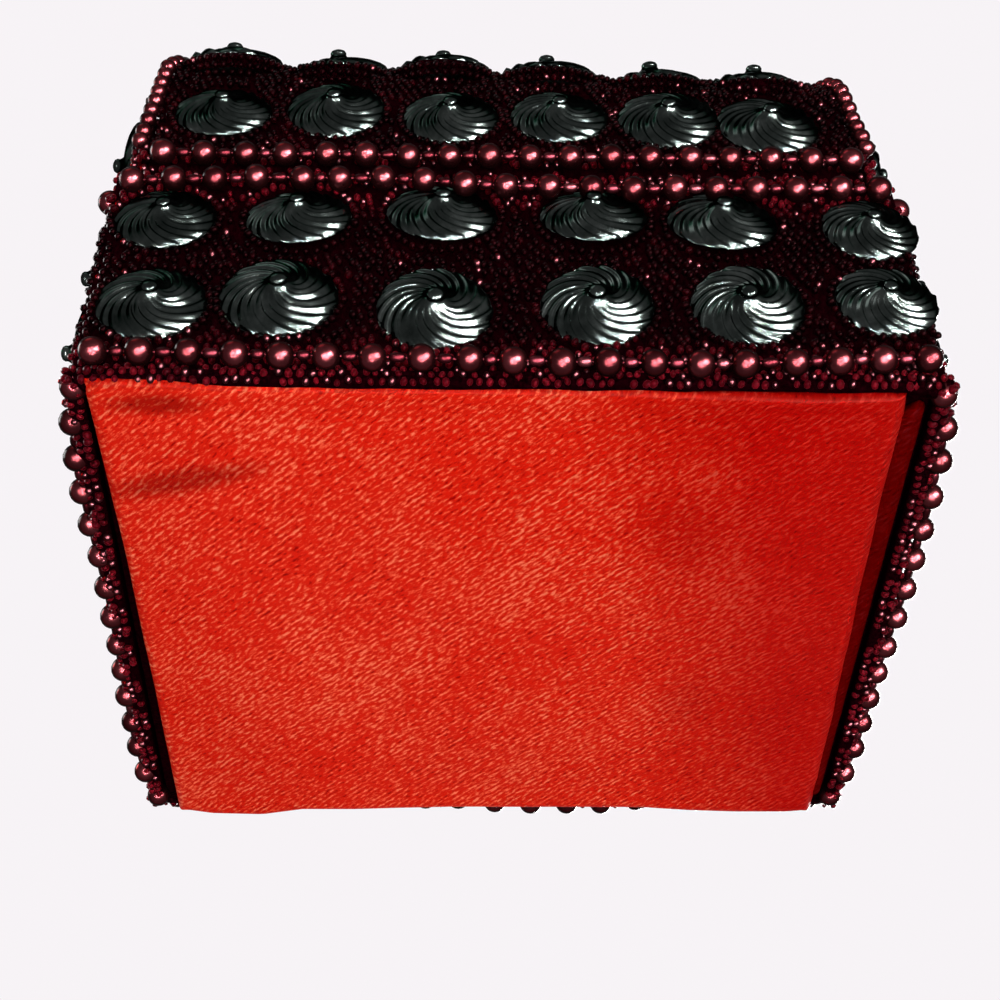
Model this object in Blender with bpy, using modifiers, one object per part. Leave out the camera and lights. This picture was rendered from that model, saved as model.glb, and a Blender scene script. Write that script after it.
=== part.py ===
"""Beaded jewelry box: a board box with a hinged, padded lid, covered in beadwork on every wall.

X runs across the box, Y from the front to the back and Z up. The origin is under the middle of the
satin base. All sizes are in metres.
"""
import math

import bmesh
import bpy
from mathutils import Matrix, Vector

GAP = 0.0003                     # clearance between pieces that touch

# Beaded outer faces of the body, which stand upright
BODY_WIDTH = 0.1034
BODY_DEPTH = 0.0870
BODY_TOP = 0.0411                # top edge of the body's walls

# Beaded outer faces of the lid, which lean in towards the top
LID_STEP_X = 0.0010              # how far the lid's lower edge stands in from the body's ends
LID_STEP_Y = 0.0005              # the same at the front and back
LID_WIDTH = BODY_WIDTH - 2 * LID_STEP_X
LID_DEPTH = BODY_DEPTH - 2 * LID_STEP_Y
LID_LEAN_X = 0.0024              # how far each end face leans in
LID_LEAN_Y = 0.0008              # how far the front and back lean in
SEAM_GAP = 0.0006                # between the body's top edge and the lid's lower edge
LID_WALL = 0.0209                # height of the lid's walls
LID_LOW = BODY_TOP + SEAM_GAP
LID_EDGE = LID_LOW + LID_WALL    # where the padded top starts
LID_RISE = 0.0144                # height of the padded top's rounded edge
LID_TILT = 0.06                  # how far that height falls from the left to the right, per metre
LID_SHOULDER = 2.3               # 2 makes that edge round, more makes it fuller
LID_SLOPE = 0.0120               # depth of that edge at the front and back, where it slopes
LID_ROUND = 0.0040               # depth of it at the ends, where it is steep
LID_CROWN = 0.0030               # rise of the padded top inside that edge

# Layers of a wall, from the outside in
SKIN = 0.0015                    # beaded cloth
BOARD = 0.0025                   # grey board
LINING = 0.0010                  # satin-covered card
FLOOR_LINING = 0.0020

# Satin-covered pad that the box stands on
PAD_INSET_X = 0.0027             # how far the pad stands in from the beaded ends
PAD_INSET_Y = 0.0001             # the same at the front and back
PAD_WIDTH = BODY_WIDTH - 2 * PAD_INSET_X
PAD_DEPTH = BODY_DEPTH - 2 * PAD_INSET_Y
PAD_THICKNESS = 0.0022
PAD_PULL = 0.0009                # how far the middle of each side is drawn in
PAD_ROLL = 0.0018                # width of the rolled edge
PAD_EDGE = ((0.0, 0.50), (0.0005, 0.16))    # its lines: inset, and height as a share of the thickness
PAD_STEPS = 12

# Pearl strands
PEARL_RADIUS = 0.00175
FRONT_PITCH = 0.0055             # pearl to pearl across the front and back
SIDE_PITCH = 0.0059              # pearl to pearl along the ends
CORNER_RADIUS = 0.0012           # smaller pearls up the lid's corners
CORNER_PITCH = 0.0026
BASE_LIFT = 0.00075              # of the base strand off the ground
RIM_INSET = 0.00085              # from the body's top edge to its rim strand
LID_RIM_INSET = 0.00105          # from the lid's lower edge to its rim strand
BASE_STRAND_HEIGHT = BASE_LIFT + PEARL_RADIUS
BODY_RIM_HEIGHT = BODY_TOP - RIM_INSET - PEARL_RADIUS
LID_RIM_HEIGHT = LID_LOW + LID_RIM_INSET + PEARL_RADIUS
CORNER_ROUND = 0.0020            # strand ends stay this far inside the corner

# Swirl studs
STUD_RADIUS = 0.0066
LID_STUD_RADIUS = 0.0063
STUD_HEIGHT = 0.0042
STUD_SINK = 0.0008               # depth of the stud's foot in the beaded cloth
STUD_SIDES = 8                   # four lobes
STUD_LOBE = 0.05                 # depth of the lobes at the foot, as a share of the radius
STUD_TWIST = -50.0               # degrees that the lobes turn on their way to the tip
LOW_ROW_GAP = 0.0040             # from the base strand to the studs above
RIM_ROW_GAP = 0.00015            # from the body's rim strand to the studs below
LID_ROW_GAP = 0.0004             # from the lid's studs to the edge of its padded top
LOW_STUD_ROW = BASE_STRAND_HEIGHT + PEARL_RADIUS + LOW_ROW_GAP + STUD_RADIUS
HIGH_STUD_ROW = BODY_RIM_HEIGHT - PEARL_RADIUS - RIM_ROW_GAP - STUD_RADIUS
BODY_STUD_ROWS = (LOW_STUD_ROW, HIGH_STUD_ROW)
LID_STUD_ROW = LID_EDGE - LID_ROW_GAP - LID_STUD_RADIUS
BODY_STUD_END = 0.0003           # from a front or back row's last stud to the corner
LID_STUD_END = 0.0054            # the same on the lid, which leaves room for the corner pearls
SIDE_STUD_END = 0.0008           # from an end row's last stud to the edge of its beaded cloth
TOP_STUD_INSET = 0.0046          # front and back rows of the top, in from the lid's edge
WIDE_STUDS = 6                   # studs in a row across the front
SIDE_STUDS = 5                   # studs in a row along an end
TOP_STUD_ROWS = 6

# Hinges on the back
HINGE_WIDTH = 0.0120
LEAF_HEIGHT = 0.0036
LEAF_THICKNESS = 0.0007
KNUCKLE_RADIUS = 0.00125
PIN_RADIUS = 0.0005
PIN_CLEARANCE = 0.00018
PIN_HEAD = 0.0003                # how far the pin stands out of each end
KNUCKLE_SIDES = 12

SHOULDER_STEPS = 3
TOP_STEPS = 4

SEAM = BODY_TOP + SEAM_GAP / 2
HINGE_Y = BODY_DEPTH / 2 + GAP + KNUCKLE_RADIUS
SIDES = ("front", "back", "left", "right")
OUTWARD = {"front": Vector((0, -1, 0)), "back": Vector((0, 1, 0)),
           "left": Vector((-1, 0, 0)), "right": Vector((1, 0, 0))}

SATIN_RED = (0.62, 0.015, 0.008)
BEAD_MAROON = (0.045, 0.004, 0.010)
PEARL_MAROON = (0.22, 0.012, 0.035)
STUD_SILVER = (0.55, 0.57, 0.58)
CARD_GREY = (0.42, 0.38, 0.33)
WADDING_WHITE = (0.80, 0.78, 0.74)
BRASS = (0.72, 0.52, 0.22)


def clear_scene():
    for thing in list(bpy.data.objects):
        bpy.data.objects.remove(thing, do_unlink=True)


def new_collection(name):
    group = bpy.data.collections.new(name)
    bpy.context.scene.collection.children.link(group)
    return group


def material(name, colour, roughness, metallic=0.0):
    made = bpy.data.materials.new(name)
    made.use_nodes = True
    shader = made.node_tree.nodes["Principled BSDF"]
    shader.inputs["Base Color"].default_value = (*colour, 1.0)
    shader.inputs["Roughness"].default_value = roughness
    shader.inputs["Metallic"].default_value = metallic
    return made


def add_object(name, data, group, finish):
    thing = bpy.data.objects.new(name, data)
    group.objects.link(thing)
    data.materials.append(finish)
    return thing


def shells(bm):
    """The faces of each separate closed shell."""
    left = set(bm.faces)
    while left:
        found = [left.pop()]
        for face in found:
            near = {other for edge in face.edges for other in edge.link_faces} & left
            left -= near
            found.extend(near)
        yield found


def signed_volume(faces):
    """Volume inside a closed shell, below zero where its faces point inwards."""
    origin = faces[0].calc_center_median()
    return sum(face.normal.dot(face.calc_center_median() - origin) * face.calc_area() for face in faces)


def face_outwards(bm):
    bmesh.ops.recalc_face_normals(bm, faces=bm.faces)
    bm.normal_update()
    inward = [shell for shell in shells(bm) if signed_volume(shell) < 0]
    bmesh.ops.reverse_faces(bm, faces=[face for shell in inward for face in shell])


def mesh_object(name, bm, group, finish):
    """Turn a bmesh into a named object; a closed shape's faces are pointed outwards."""
    if all(edge.is_manifold for edge in bm.edges):
        face_outwards(bm)
    mesh = bpy.data.meshes.new(name)
    bm.to_mesh(mesh)
    bm.free()
    return add_object(name, mesh, group, finish)


def make_cutter(thing):
    thing.hide_render = True
    thing.display_type = "WIRE"


def join_shapes(thing, other):
    """Fuse another object, which stays in the cutters' collection, into this one."""
    fuse = thing.modifiers.new("fuse", "BOOLEAN")
    fuse.operation = "UNION"
    fuse.solver = "EXACT"
    fuse.material_mode = "TRANSFER"
    fuse.object = other
    make_cutter(other)


def outline(part, height):
    """Half width and half depth across the beaded faces of the body or the lid at a height."""
    if part == "body":
        return BODY_WIDTH / 2, BODY_DEPTH / 2
    rise = (height - LID_LOW) / (LID_EDGE - LID_LOW)
    return LID_WIDTH / 2 - LID_LEAN_X * rise, LID_DEPTH / 2 - LID_LEAN_Y * rise


def box(name, half_x, half_y, low, high, group, finish):
    bm = bmesh.new()
    bmesh.ops.create_cube(bm, size=2)
    for vert in bm.verts:
        vert.co.x *= half_x
        vert.co.y *= half_y
        vert.co.z = high if vert.co.z > 0 else low
    return mesh_object(name, bm, group, finish)


def wall(name, part, side, outer, inner, low, high, group, finish):
    """One layer of one wall, between two depths behind the beaded face.

    The front and back run the full width and the ends stand between them.
    """
    bm = bmesh.new()
    bmesh.ops.create_cube(bm, size=2)
    for vert in bm.verts:
        height = high if vert.co.z > 0 else low
        depth = outer if vert.co.y < 0 else inner
        half_x, half_y = outline(part, height)
        if side in ("front", "back"):
            across = vert.co.x * (half_x - outer)
            vert.co = (across, OUTWARD[side].y * (half_y - depth), height)
        else:
            across = vert.co.x * (half_y - inner - GAP)
            vert.co = (OUTWARD[side].x * (half_x - depth), across, height)
    return mesh_object(name, bm, group, finish)


def face_point(part, side, along, height):
    """Matrix with its origin on a beaded face and its Z axis pointing out of that face."""
    half_x, half_y = outline(part, height)
    lean = LID_LEAN_Y if side in ("front", "back") else LID_LEAN_X
    tilt = 0.0 if part == "body" else math.atan2(lean, LID_EDGE - LID_LOW)
    out = OUTWARD[side] * math.cos(tilt) + Vector((0, 0, math.sin(tilt)))
    if side in ("front", "back"):
        place = Vector((along, OUTWARD[side].y * half_y, height))
    else:
        place = Vector((OUTWARD[side].x * half_x, along, height))
    return Matrix.Translation(place) @ out.to_track_quat("Z", "Y").to_matrix().to_4x4()


def spread(count, pitch):
    """Places of a row of equal steps about the middle."""
    return [(step - (count - 1) / 2) * pitch for step in range(count)]


def lobed(reach, index, turn, lobe, height):
    """A point of a stud's ring: every other one stands out to make a lobe."""
    angle = math.radians(turn) + (index + 0.5) * math.tau / STUD_SIDES
    reach *= 1 + lobe * (-1) ** index
    return (reach * math.cos(angle), reach * math.sin(angle), height)


def add_stud(bm, place, radius):
    """A swirl stud: a lobed disc drawn up ring by ring, the upper rings turned to make the swirl."""
    rings = ((0.74, 0.50, 0.0, STUD_LOBE),
             (0.24, 0.80, STUD_TWIST, 2 * STUD_LOBE),
             (0.10, 1.00, STUD_TWIST, 0.0))
    foot = radius / (1 + STUD_LOBE)
    made = bmesh.ops.create_circle(bm, cap_ends=True, segments=STUD_SIDES, radius=foot)
    stud = list(made["verts"])
    for index, vert in enumerate(stud):
        vert.co = lobed(foot, index, 0.0, STUD_LOBE, -STUD_SINK)
    face = stud[0].link_faces[0]
    for level, (share, rise, turn, lobe) in enumerate(rings):
        lower = face
        drawn = bmesh.ops.extrude_face_region(bm, geom=[lower], use_keep_orig=True)
        face = next(item for item in drawn["geom"] if isinstance(item, bmesh.types.BMFace))
        if level > 0:
            bmesh.ops.delete(bm, geom=[lower], context="FACES_ONLY")
        ring = sorted(face.verts, key=lambda vert: math.atan2(vert.co.y, vert.co.x) % math.tau)
        stud.extend(ring)
        for index, vert in enumerate(ring):
            vert.co = lobed(foot * share, index, turn, lobe, STUD_HEIGHT * rise)
    bmesh.ops.transform(bm, matrix=place, verts=stud)


def studs(name, places, radius, group, finish):
    bm = bmesh.new()
    for place in places:
        add_stud(bm, place, radius)
    return mesh_object(name, bm, group, finish)


def stud_row(part, side, height):
    """Places along one wall of a row of studs at a height."""
    half_x, half_y = outline(part, height)
    radius = STUD_RADIUS if part == "body" else LID_STUD_RADIUS
    if side in ("left", "right"):
        reach = half_y - SKIN - GAP - SIDE_STUD_END - radius
        return spread(SIDE_STUDS, 2 * reach / (SIDE_STUDS - 1))
    reach = half_x - (BODY_STUD_END if part == "body" else LID_STUD_END) - radius
    row = spread(WIDE_STUDS, 2 * reach / (WIDE_STUDS - 1))
    return row[1:-1] if (part, side) == ("lid", "back") else row


def stud_places(part, side):
    """Where the swirl studs sit on one beaded wall; on the lid's back the hinges replace the outer two."""
    rows = BODY_STUD_ROWS if part == "body" else (LID_STUD_ROW,)
    return [face_point(part, side, along, row) for row in rows for along in stud_row(part, side, row)]


def beaded_panel(part, side, low, high, parts, cutters, cloth, metal):
    """The beaded cloth of one wall with its swirl studs fused on."""
    panel = wall(f"{part}_{side}_beading", part, side, 0.0, SKIN, low, high, parts, cloth)
    radius = STUD_RADIUS if part == "body" else LID_STUD_RADIUS
    metalwork = studs(f"{part}_{side}_studs", stud_places(part, side), radius, cutters, metal)
    join_shapes(panel, metalwork)
    return panel


def dome_height(x, y):
    """Height of the padded top's outer surface."""
    half_x, half_y = outline("lid", LID_EDGE)
    over_x = 1 - (half_x - abs(x)) / LID_ROUND
    over_y = 1 - (half_y - abs(y)) / LID_SLOPE
    over = min(1.0, max(0.0, over_x, over_y))
    full = (1 - over ** LID_SHOULDER) ** (1 / LID_SHOULDER)
    crown = LID_CROWN * (1 - (x / half_x) ** 2) * (1 - (y / half_y) ** 2)
    return LID_EDGE + (LID_RISE - LID_TILT * x) * full + crown


def dome_normal(x, y):
    step = 0.0001
    slope_x = (dome_height(x + step, y) - dome_height(x - step, y)) / (2 * step)
    slope_y = (dome_height(x, y + step) - dome_height(x, y - step)) / (2 * step)
    return Vector((-slope_x, -slope_y, 1)).normalized()


def dome_lines(half, depth):
    """Distances from the middle of the lines that carry the padded top, close on its rounded edge."""
    turn = [math.radians(90 * step / SHOULDER_STEPS) for step in range(SHOULDER_STEPS)]
    edge = [half - depth * (1 - math.cos(angle)) for angle in turn]
    flat = half - depth
    middle = [flat * (1 - 2 * step / TOP_STEPS) for step in range(TOP_STEPS + 1)]
    return edge + middle + [-reach for reach in reversed(edge)]


def dome_grid(skip):
    """A grid on the padded top's surface that leaves out a number of lines at each edge."""
    half_x, half_y = outline("lid", LID_EDGE)
    lines_x = dome_lines(half_x, LID_ROUND)
    lines_y = dome_lines(half_y, LID_SLOPE)
    cells = len(lines_x) - 1 - 2 * skip
    bm = bmesh.new()
    bmesh.ops.create_grid(bm, x_segments=cells, y_segments=cells, size=1)
    for vert in bm.verts:
        column = round((vert.co.x + 1) / 2 * cells) + skip
        row = round((vert.co.y + 1) / 2 * cells) + skip
        x = -lines_x[column]
        y = -lines_y[row]
        vert.co = (x, y, dome_height(x, y))
    return bm


def top_beading(parts, cutters, cloth, metal):
    """The beaded cloth over the padded top, with its rows of studs."""
    cover = mesh_object("lid_top_beading", dome_grid(0), parts, cloth)
    thicken = cover.modifiers.new("cloth", "SOLIDIFY")
    thicken.thickness = SKIN
    thicken.offset = -1
    places = []
    reach = outline("lid", LID_EDGE)[1] - TOP_STUD_INSET
    for y in spread(TOP_STUD_ROWS, 2 * reach / (TOP_STUD_ROWS - 1)):
        for x in stud_row("lid", "front", LID_EDGE):
            turn = dome_normal(x, y).to_track_quat("Z", "Y").to_matrix().to_4x4()
            places.append(Matrix.Translation((x, y, dome_height(x, y))) @ turn)
    metalwork = studs("lid_top_studs", places, LID_STUD_RADIUS, cutters, metal)
    join_shapes(cover, metalwork)


def wadding(parts, finish):
    """The wadding that pads the top: the cover's form with a flat underside on the top board."""
    bm = dome_grid(1)
    depth = SKIN + 2 * GAP
    for vert in bm.verts:
        vert.co -= dome_normal(vert.co.x, vert.co.y) * depth
    rim = [edge for edge in bm.edges if edge.is_boundary]
    drawn = bmesh.ops.extrude_edge_only(bm, edges=rim)
    floor = [item for item in drawn["geom"] if isinstance(item, bmesh.types.BMVert)]
    for vert in floor:
        vert.co.z = LID_EDGE + BOARD + GAP
    bmesh.ops.holes_fill(bm, edges=[edge for edge in bm.edges if edge.is_boundary])
    return mesh_object("lid_wadding", bm, parts, finish)


def pad_lines():
    """Places of the satin pad's lines as a share of its half size, and how far each is drawn in."""
    middle = PAD_STEPS - 2 * len(PAD_EDGE)
    shares = [1 - 2 * step / middle for step in range(middle + 1)]
    return ([(1.0, inset) for inset, height in PAD_EDGE] + [(share, PAD_ROLL) for share in shares]
            + [(-1.0, inset) for inset, height in reversed(PAD_EDGE)])


def satin_pad(parts, finish):
    """The pad under the box: rolled edges, sides drawn in between the corners, flat where it rests."""
    bm = bmesh.new()
    bmesh.ops.create_grid(bm, x_segments=PAD_STEPS, y_segments=PAD_STEPS, size=1)
    lines = pad_lines()
    for vert in bm.verts:
        column = round((vert.co.x + 1) / 2 * PAD_STEPS)
        row = round((vert.co.y + 1) / 2 * PAD_STEPS)
        u, inset_x = lines[column]
        v, inset_y = lines[row]
        reach_x = PAD_WIDTH / 2 - PAD_PULL * (1 - v * v) - inset_x
        reach_y = PAD_DEPTH / 2 - PAD_PULL * (1 - u * u) - inset_y
        level = min(column, row, PAD_STEPS - column, PAD_STEPS - row)
        height = PAD_EDGE[level][1] if level < len(PAD_EDGE) else 0.0
        vert.co = (-u * reach_x, -v * reach_y, PAD_THICKNESS * height)
    drawn = bmesh.ops.extrude_edge_only(bm, edges=[edge for edge in bm.edges if edge.is_boundary])
    upper = [item for item in drawn["geom"] if isinstance(item, bmesh.types.BMVert)]
    for vert in upper:
        vert.co.z = PAD_THICKNESS
    bmesh.ops.holes_fill(bm, edges=[edge for edge in bm.edges if edge.is_boundary])
    return mesh_object("satin_base_pad", bm, parts, finish)


def pearl_strand(name, route, radius, pitch, count, parts, finish):
    """Pearls on a thread with a seed bead between neighbours: one tube whose radius swells at each pearl.

    route turns a distance from the middle of the strand into a point.
    """
    rings = ((-0.90, 0.45), (-0.40, 1.0), (0.40, 1.0), (0.90, 0.45))
    curve = bpy.data.curves.new(name, "CURVE")
    curve.dimensions = "3D"
    curve.bevel_depth = radius
    curve.bevel_resolution = 1
    curve.use_fill_caps = True
    spline = curve.splines.new("POLY")
    spline.points.add(count * len(rings) - 1)
    stations = [(middle + radius * shift, swell) for middle in spread(count, pitch)
                for shift, swell in rings]
    for point, (distance, swell) in zip(spline.points, stations):
        point.co = (*route(distance), 1.0)
        point.radius = swell
    return add_object(name, curve, parts, finish)


def rim_strand(name, part, side, height, parts, finish):
    """A pearl strand along one wall at a height."""
    half_x, half_y = outline(part, height)
    off = GAP + PEARL_RADIUS
    if side in ("front", "back"):
        length = 2 * (half_x - CORNER_ROUND)
        pitch = FRONT_PITCH
        y = OUTWARD[side].y * (half_y + off)

        def route(distance):
            return (distance, y, height)
    else:
        length = 2 * (half_y - CORNER_ROUND)
        pitch = SIDE_PITCH
        x = OUTWARD[side].x * (half_x + off)

        def route(distance):
            return (x, distance, height)
    count = int(length / pitch) + 1
    return pearl_strand(name, route, PEARL_RADIUS, pitch, count, parts, finish)


def corner_strand(name, way_x, way_y, parts, finish):
    """Small pearls up one corner of the lid and over its padded shoulder."""
    off = GAP + CORNER_RADIUS
    low = LID_RIM_HEIGHT + PEARL_RADIUS + CORNER_RADIUS + GAP
    half_x, half_y = outline("lid", LID_EDGE)
    points = []
    for height in (low, (low + LID_EDGE) / 2, LID_EDGE):
        reach_x, reach_y = outline("lid", height)
        out = Vector((reach_x, reach_y, height)) + Vector((1, 1, 0)).normalized() * off
        points.append(out)
    for share in (0.12, 0.25, 0.40):
        x = half_x - LID_ROUND * share
        y = half_y - LID_SLOPE * share
        lift = Vector((1, 1 - share, share)).normalized() * (off + GAP)
        points.append(Vector((x, y, dome_height(way_x * x, y))) + lift)
    steps = [0.0]
    for here, there in zip(points, points[1:]):
        steps.append(steps[-1] + (there - here).length)
    count = int((steps[-1] - 2 * CORNER_RADIUS) / CORNER_PITCH) + 1

    def route(distance):
        along = distance + steps[-1] / 2
        leg = max(1, next((k for k, reach in enumerate(steps) if reach >= along), len(steps) - 1))
        share = (along - steps[leg - 1]) / (steps[leg] - steps[leg - 1])
        place = points[leg - 1].lerp(points[leg], share)
        return (way_x * place.x, way_y * place.y, place.z)

    return pearl_strand(name, route, CORNER_RADIUS, CORNER_PITCH, count, parts, finish)


def add_knuckle(bm, start, end):
    """A short tube about the hinge line, between two places along it, ready for the pin."""
    bore = PIN_RADIUS + PIN_CLEARANCE
    turn = Matrix.Rotation(math.radians(90), 4, "Y")
    place = Matrix.Translation(((start + end) / 2, HINGE_Y, SEAM)) @ turn
    outer = bmesh.ops.create_circle(bm, segments=KNUCKLE_SIDES, radius=KNUCKLE_RADIUS)["verts"]
    inner = bmesh.ops.create_circle(bm, segments=KNUCKLE_SIDES, radius=bore)["verts"]
    edges = {edge for vert in outer + inner for edge in vert.link_edges}
    ring = bmesh.ops.bridge_loops(bm, edges=list(edges))["faces"]
    drawn = bmesh.ops.extrude_face_region(bm, geom=ring, use_keep_orig=True)
    top = [item for item in drawn["geom"] if isinstance(item, bmesh.types.BMVert)]
    for vert in outer + inner:
        vert.co.z = -(end - start) / 2
    for vert in top:
        vert.co.z = (end - start) / 2
    bmesh.ops.transform(bm, matrix=place, verts=outer + inner + top)


def add_plate(bm, start, end, near, far, way):
    """A flat piece of a leaf on the back, between two distances above or below the hinge line."""
    made = bmesh.ops.create_cube(bm, size=2)["verts"]
    back = BODY_DEPTH / 2 + GAP
    for vert in made:
        x = end if vert.co.x > 0 else start
        y = back + (LEAF_THICKNESS if vert.co.y > 0 else 0.0)
        vert.co = (x, y, SEAM + way * (far if vert.co.z > 0 else near))


def hinge_leaf(name, middle, way, spans, parts, cutters, finish):
    """A leaf screwed to the back, with a tab and a knuckle for each span along the pin."""
    clear = KNUCKLE_RADIUS + GAP
    bm = bmesh.new()
    half = HINGE_WIDTH / 2
    add_plate(bm, middle - half, middle + half, clear, clear + LEAF_HEIGHT, way)
    leaf = mesh_object(name, bm, parts, finish)
    tabs = bmesh.new()
    for start, end in spans:
        reach = clear + LEAF_THICKNESS
        add_plate(tabs, middle + start, middle + end, PIN_RADIUS + PIN_CLEARANCE + GAP, reach, way)
    join_shapes(leaf, mesh_object(name + "_tabs", tabs, cutters, finish))
    knuckles = bmesh.new()
    for start, end in spans:
        add_knuckle(knuckles, middle + start, middle + end)
    join_shapes(leaf, mesh_object(name + "_knuckles", knuckles, cutters, finish))
    return leaf


def hinge_pin(name, middle, parts, finish):
    bm = bmesh.new()
    length = HINGE_WIDTH + 2 * PIN_HEAD
    bmesh.ops.create_cone(bm, cap_ends=True, segments=KNUCKLE_SIDES, radius1=PIN_RADIUS,
                          radius2=PIN_RADIUS, depth=length)
    pin = mesh_object(name, bm, parts, finish)
    pin.location = (middle, HINGE_Y, SEAM)
    pin.rotation_euler = (0, math.radians(90), 0)
    return pin


def hinges(parts, cutters, finish):
    """Two butt hinges: a pair of outer knuckles on the body's leaf, one between them on the lid's."""
    half = HINGE_WIDTH / 2
    third = half / 3
    outer = ((-half, -third - GAP / 2), (third + GAP / 2, half))
    inner = ((-third + GAP / 2, third - GAP / 2),)
    row = stud_row("body", "back", BODY_STUD_ROWS[-1])
    between = (row[-1] + row[-2]) / 2
    for side, middle in (("left", -between), ("right", between)):
        hinge_leaf(f"hinge_{side}_body_leaf", middle, -1, outer, parts, cutters, finish)
        hinge_leaf(f"hinge_{side}_lid_leaf", middle, 1, inner, parts, cutters, finish)
        hinge_pin(f"hinge_{side}_pin", middle, parts, finish)


def build_body(parts, cutters, looks):
    satin_pad(parts, looks["satin"])
    half_x, half_y = outline("body", 0)
    board_low = PAD_THICKNESS + GAP
    board_top = board_low + BOARD
    outer = SKIN + GAP
    inner = outer + BOARD
    box("base_board", half_x - outer, half_y - outer, board_low, board_top, parts, looks["card"])
    lining_in = inner + GAP + LINING
    floor_x = half_x - lining_in - GAP
    floor_y = half_y - lining_in - GAP
    floor = board_top + GAP
    box("floor_lining", floor_x, floor_y, floor, floor + FLOOR_LINING, parts, looks["lining"])
    for side in SIDES:
        wall(f"body_{side}_board", "body", side, outer, inner, floor, BODY_TOP, parts, looks["card"])
        wall(f"body_{side}_lining", "body", side, inner + GAP, lining_in, floor, BODY_TOP - GAP,
             parts, looks["lining"])
        beaded_panel("body", side, board_low, BODY_TOP, parts, cutters, looks["cloth"], looks["metal"])
        rim_strand(f"base_{side}_pearls", "body", side, BASE_STRAND_HEIGHT, parts, looks["pearl"])
        if side != "back":
            rim_strand(f"body_rim_{side}_pearls", "body", side, BODY_RIM_HEIGHT, parts, looks["pearl"])


def build_lid(parts, cutters, looks):
    outer = SKIN + GAP
    inner = outer + BOARD
    lining_in = inner + GAP + LINING
    wall_top = LID_EDGE - 2 * GAP
    half_x, half_y = outline("lid", LID_EDGE)
    inset = outer + 2 * GAP
    box("lid_top_board", half_x - inset, half_y - inset, LID_EDGE, LID_EDGE + BOARD, parts,
        looks["card"])
    half_x, half_y = outline("lid", wall_top)
    inset = lining_in + GAP
    box("lid_top_lining", half_x - inset, half_y - inset, wall_top - FLOOR_LINING, wall_top, parts,
        looks["lining"])
    wadding(parts, looks["wadding"])
    top_beading(parts, cutters, looks["cloth"], looks["metal"])
    for side in SIDES:
        wall(f"lid_{side}_board", "lid", side, outer, inner, LID_LOW, wall_top, parts, looks["card"])
        wall(f"lid_{side}_lining", "lid", side, inner + GAP, lining_in, LID_LOW + GAP, wall_top,
             parts, looks["lining"])
        beaded_panel("lid", side, LID_LOW, wall_top, parts, cutters, looks["cloth"], looks["metal"])
        if side != "back":
            rim_strand(f"lid_rim_{side}_pearls", "lid", side, LID_RIM_HEIGHT, parts, looks["pearl"])
    for depth_name, way_y in (("front", -1), ("back", 1)):
        for width_name, way_x in (("left", -1), ("right", 1)):
            corner_strand(f"lid_{depth_name}_{width_name}_corner_pearls", way_x, way_y,
                          parts, looks["pearl"])


def main():
    clear_scene()
    parts = new_collection("beaded jewelry box")
    cutters = new_collection("cutters")
    looks = {
        "satin": material("red satin", SATIN_RED, 0.35),
        "lining": material("red satin lining", SATIN_RED, 0.45),
        "cloth": material("seed bead cloth", BEAD_MAROON, 0.30),
        "pearl": material("maroon pearl", PEARL_MAROON, 0.18),
        "metal": material("swirl stud silver", STUD_SILVER, 0.12, 1.0),
        "card": material("grey board", CARD_GREY, 0.90),
        "wadding": material("wadding", WADDING_WHITE, 0.95),
        "brass": material("hinge brass", BRASS, 0.30, 1.0),
    }
    build_body(parts, cutters, looks)
    build_lid(parts, cutters, looks)
    hinges(parts, cutters, looks["brass"])


main()
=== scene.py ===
"""The looks of the beaded jewelry box: swirl studs, seed beads, pearl strands and red satin.

X runs across the box, Y from the front to the back and Z up, in metres. The camera looks up at the
satin base and the front wall, because the box in the photograph lies on its back.
"""
import math

import bmesh
import bpy
import numpy as np
from mathutils import Euler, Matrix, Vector, noise


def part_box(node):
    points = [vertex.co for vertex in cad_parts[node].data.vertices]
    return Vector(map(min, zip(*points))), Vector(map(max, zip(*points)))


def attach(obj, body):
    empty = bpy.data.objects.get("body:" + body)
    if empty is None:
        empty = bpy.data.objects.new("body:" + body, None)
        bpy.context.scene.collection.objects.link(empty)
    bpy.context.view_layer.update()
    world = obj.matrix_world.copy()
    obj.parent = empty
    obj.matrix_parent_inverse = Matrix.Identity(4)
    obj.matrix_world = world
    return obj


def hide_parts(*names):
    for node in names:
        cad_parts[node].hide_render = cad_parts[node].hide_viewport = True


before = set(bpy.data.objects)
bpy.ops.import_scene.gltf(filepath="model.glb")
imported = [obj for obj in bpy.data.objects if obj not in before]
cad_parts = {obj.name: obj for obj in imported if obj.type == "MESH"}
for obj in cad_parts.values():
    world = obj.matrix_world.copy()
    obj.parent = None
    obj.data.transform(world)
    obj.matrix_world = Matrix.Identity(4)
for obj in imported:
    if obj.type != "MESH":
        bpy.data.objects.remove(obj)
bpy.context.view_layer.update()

TAU = math.tau

# Camera: its place, and its turn in degrees
CAMERA_PLACE = (-0.00680, -0.17528, -0.14756)
CAMERA_TURN = (134.404, 0.828, -1.393)
CAMERA_LENS = 61.30
BACKGROUND = (0.930, 0.897, 0.922)
AMBIENT = 0.30
LIT = (0.0, 0.0, 0.03)           # where the lamps aim

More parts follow.
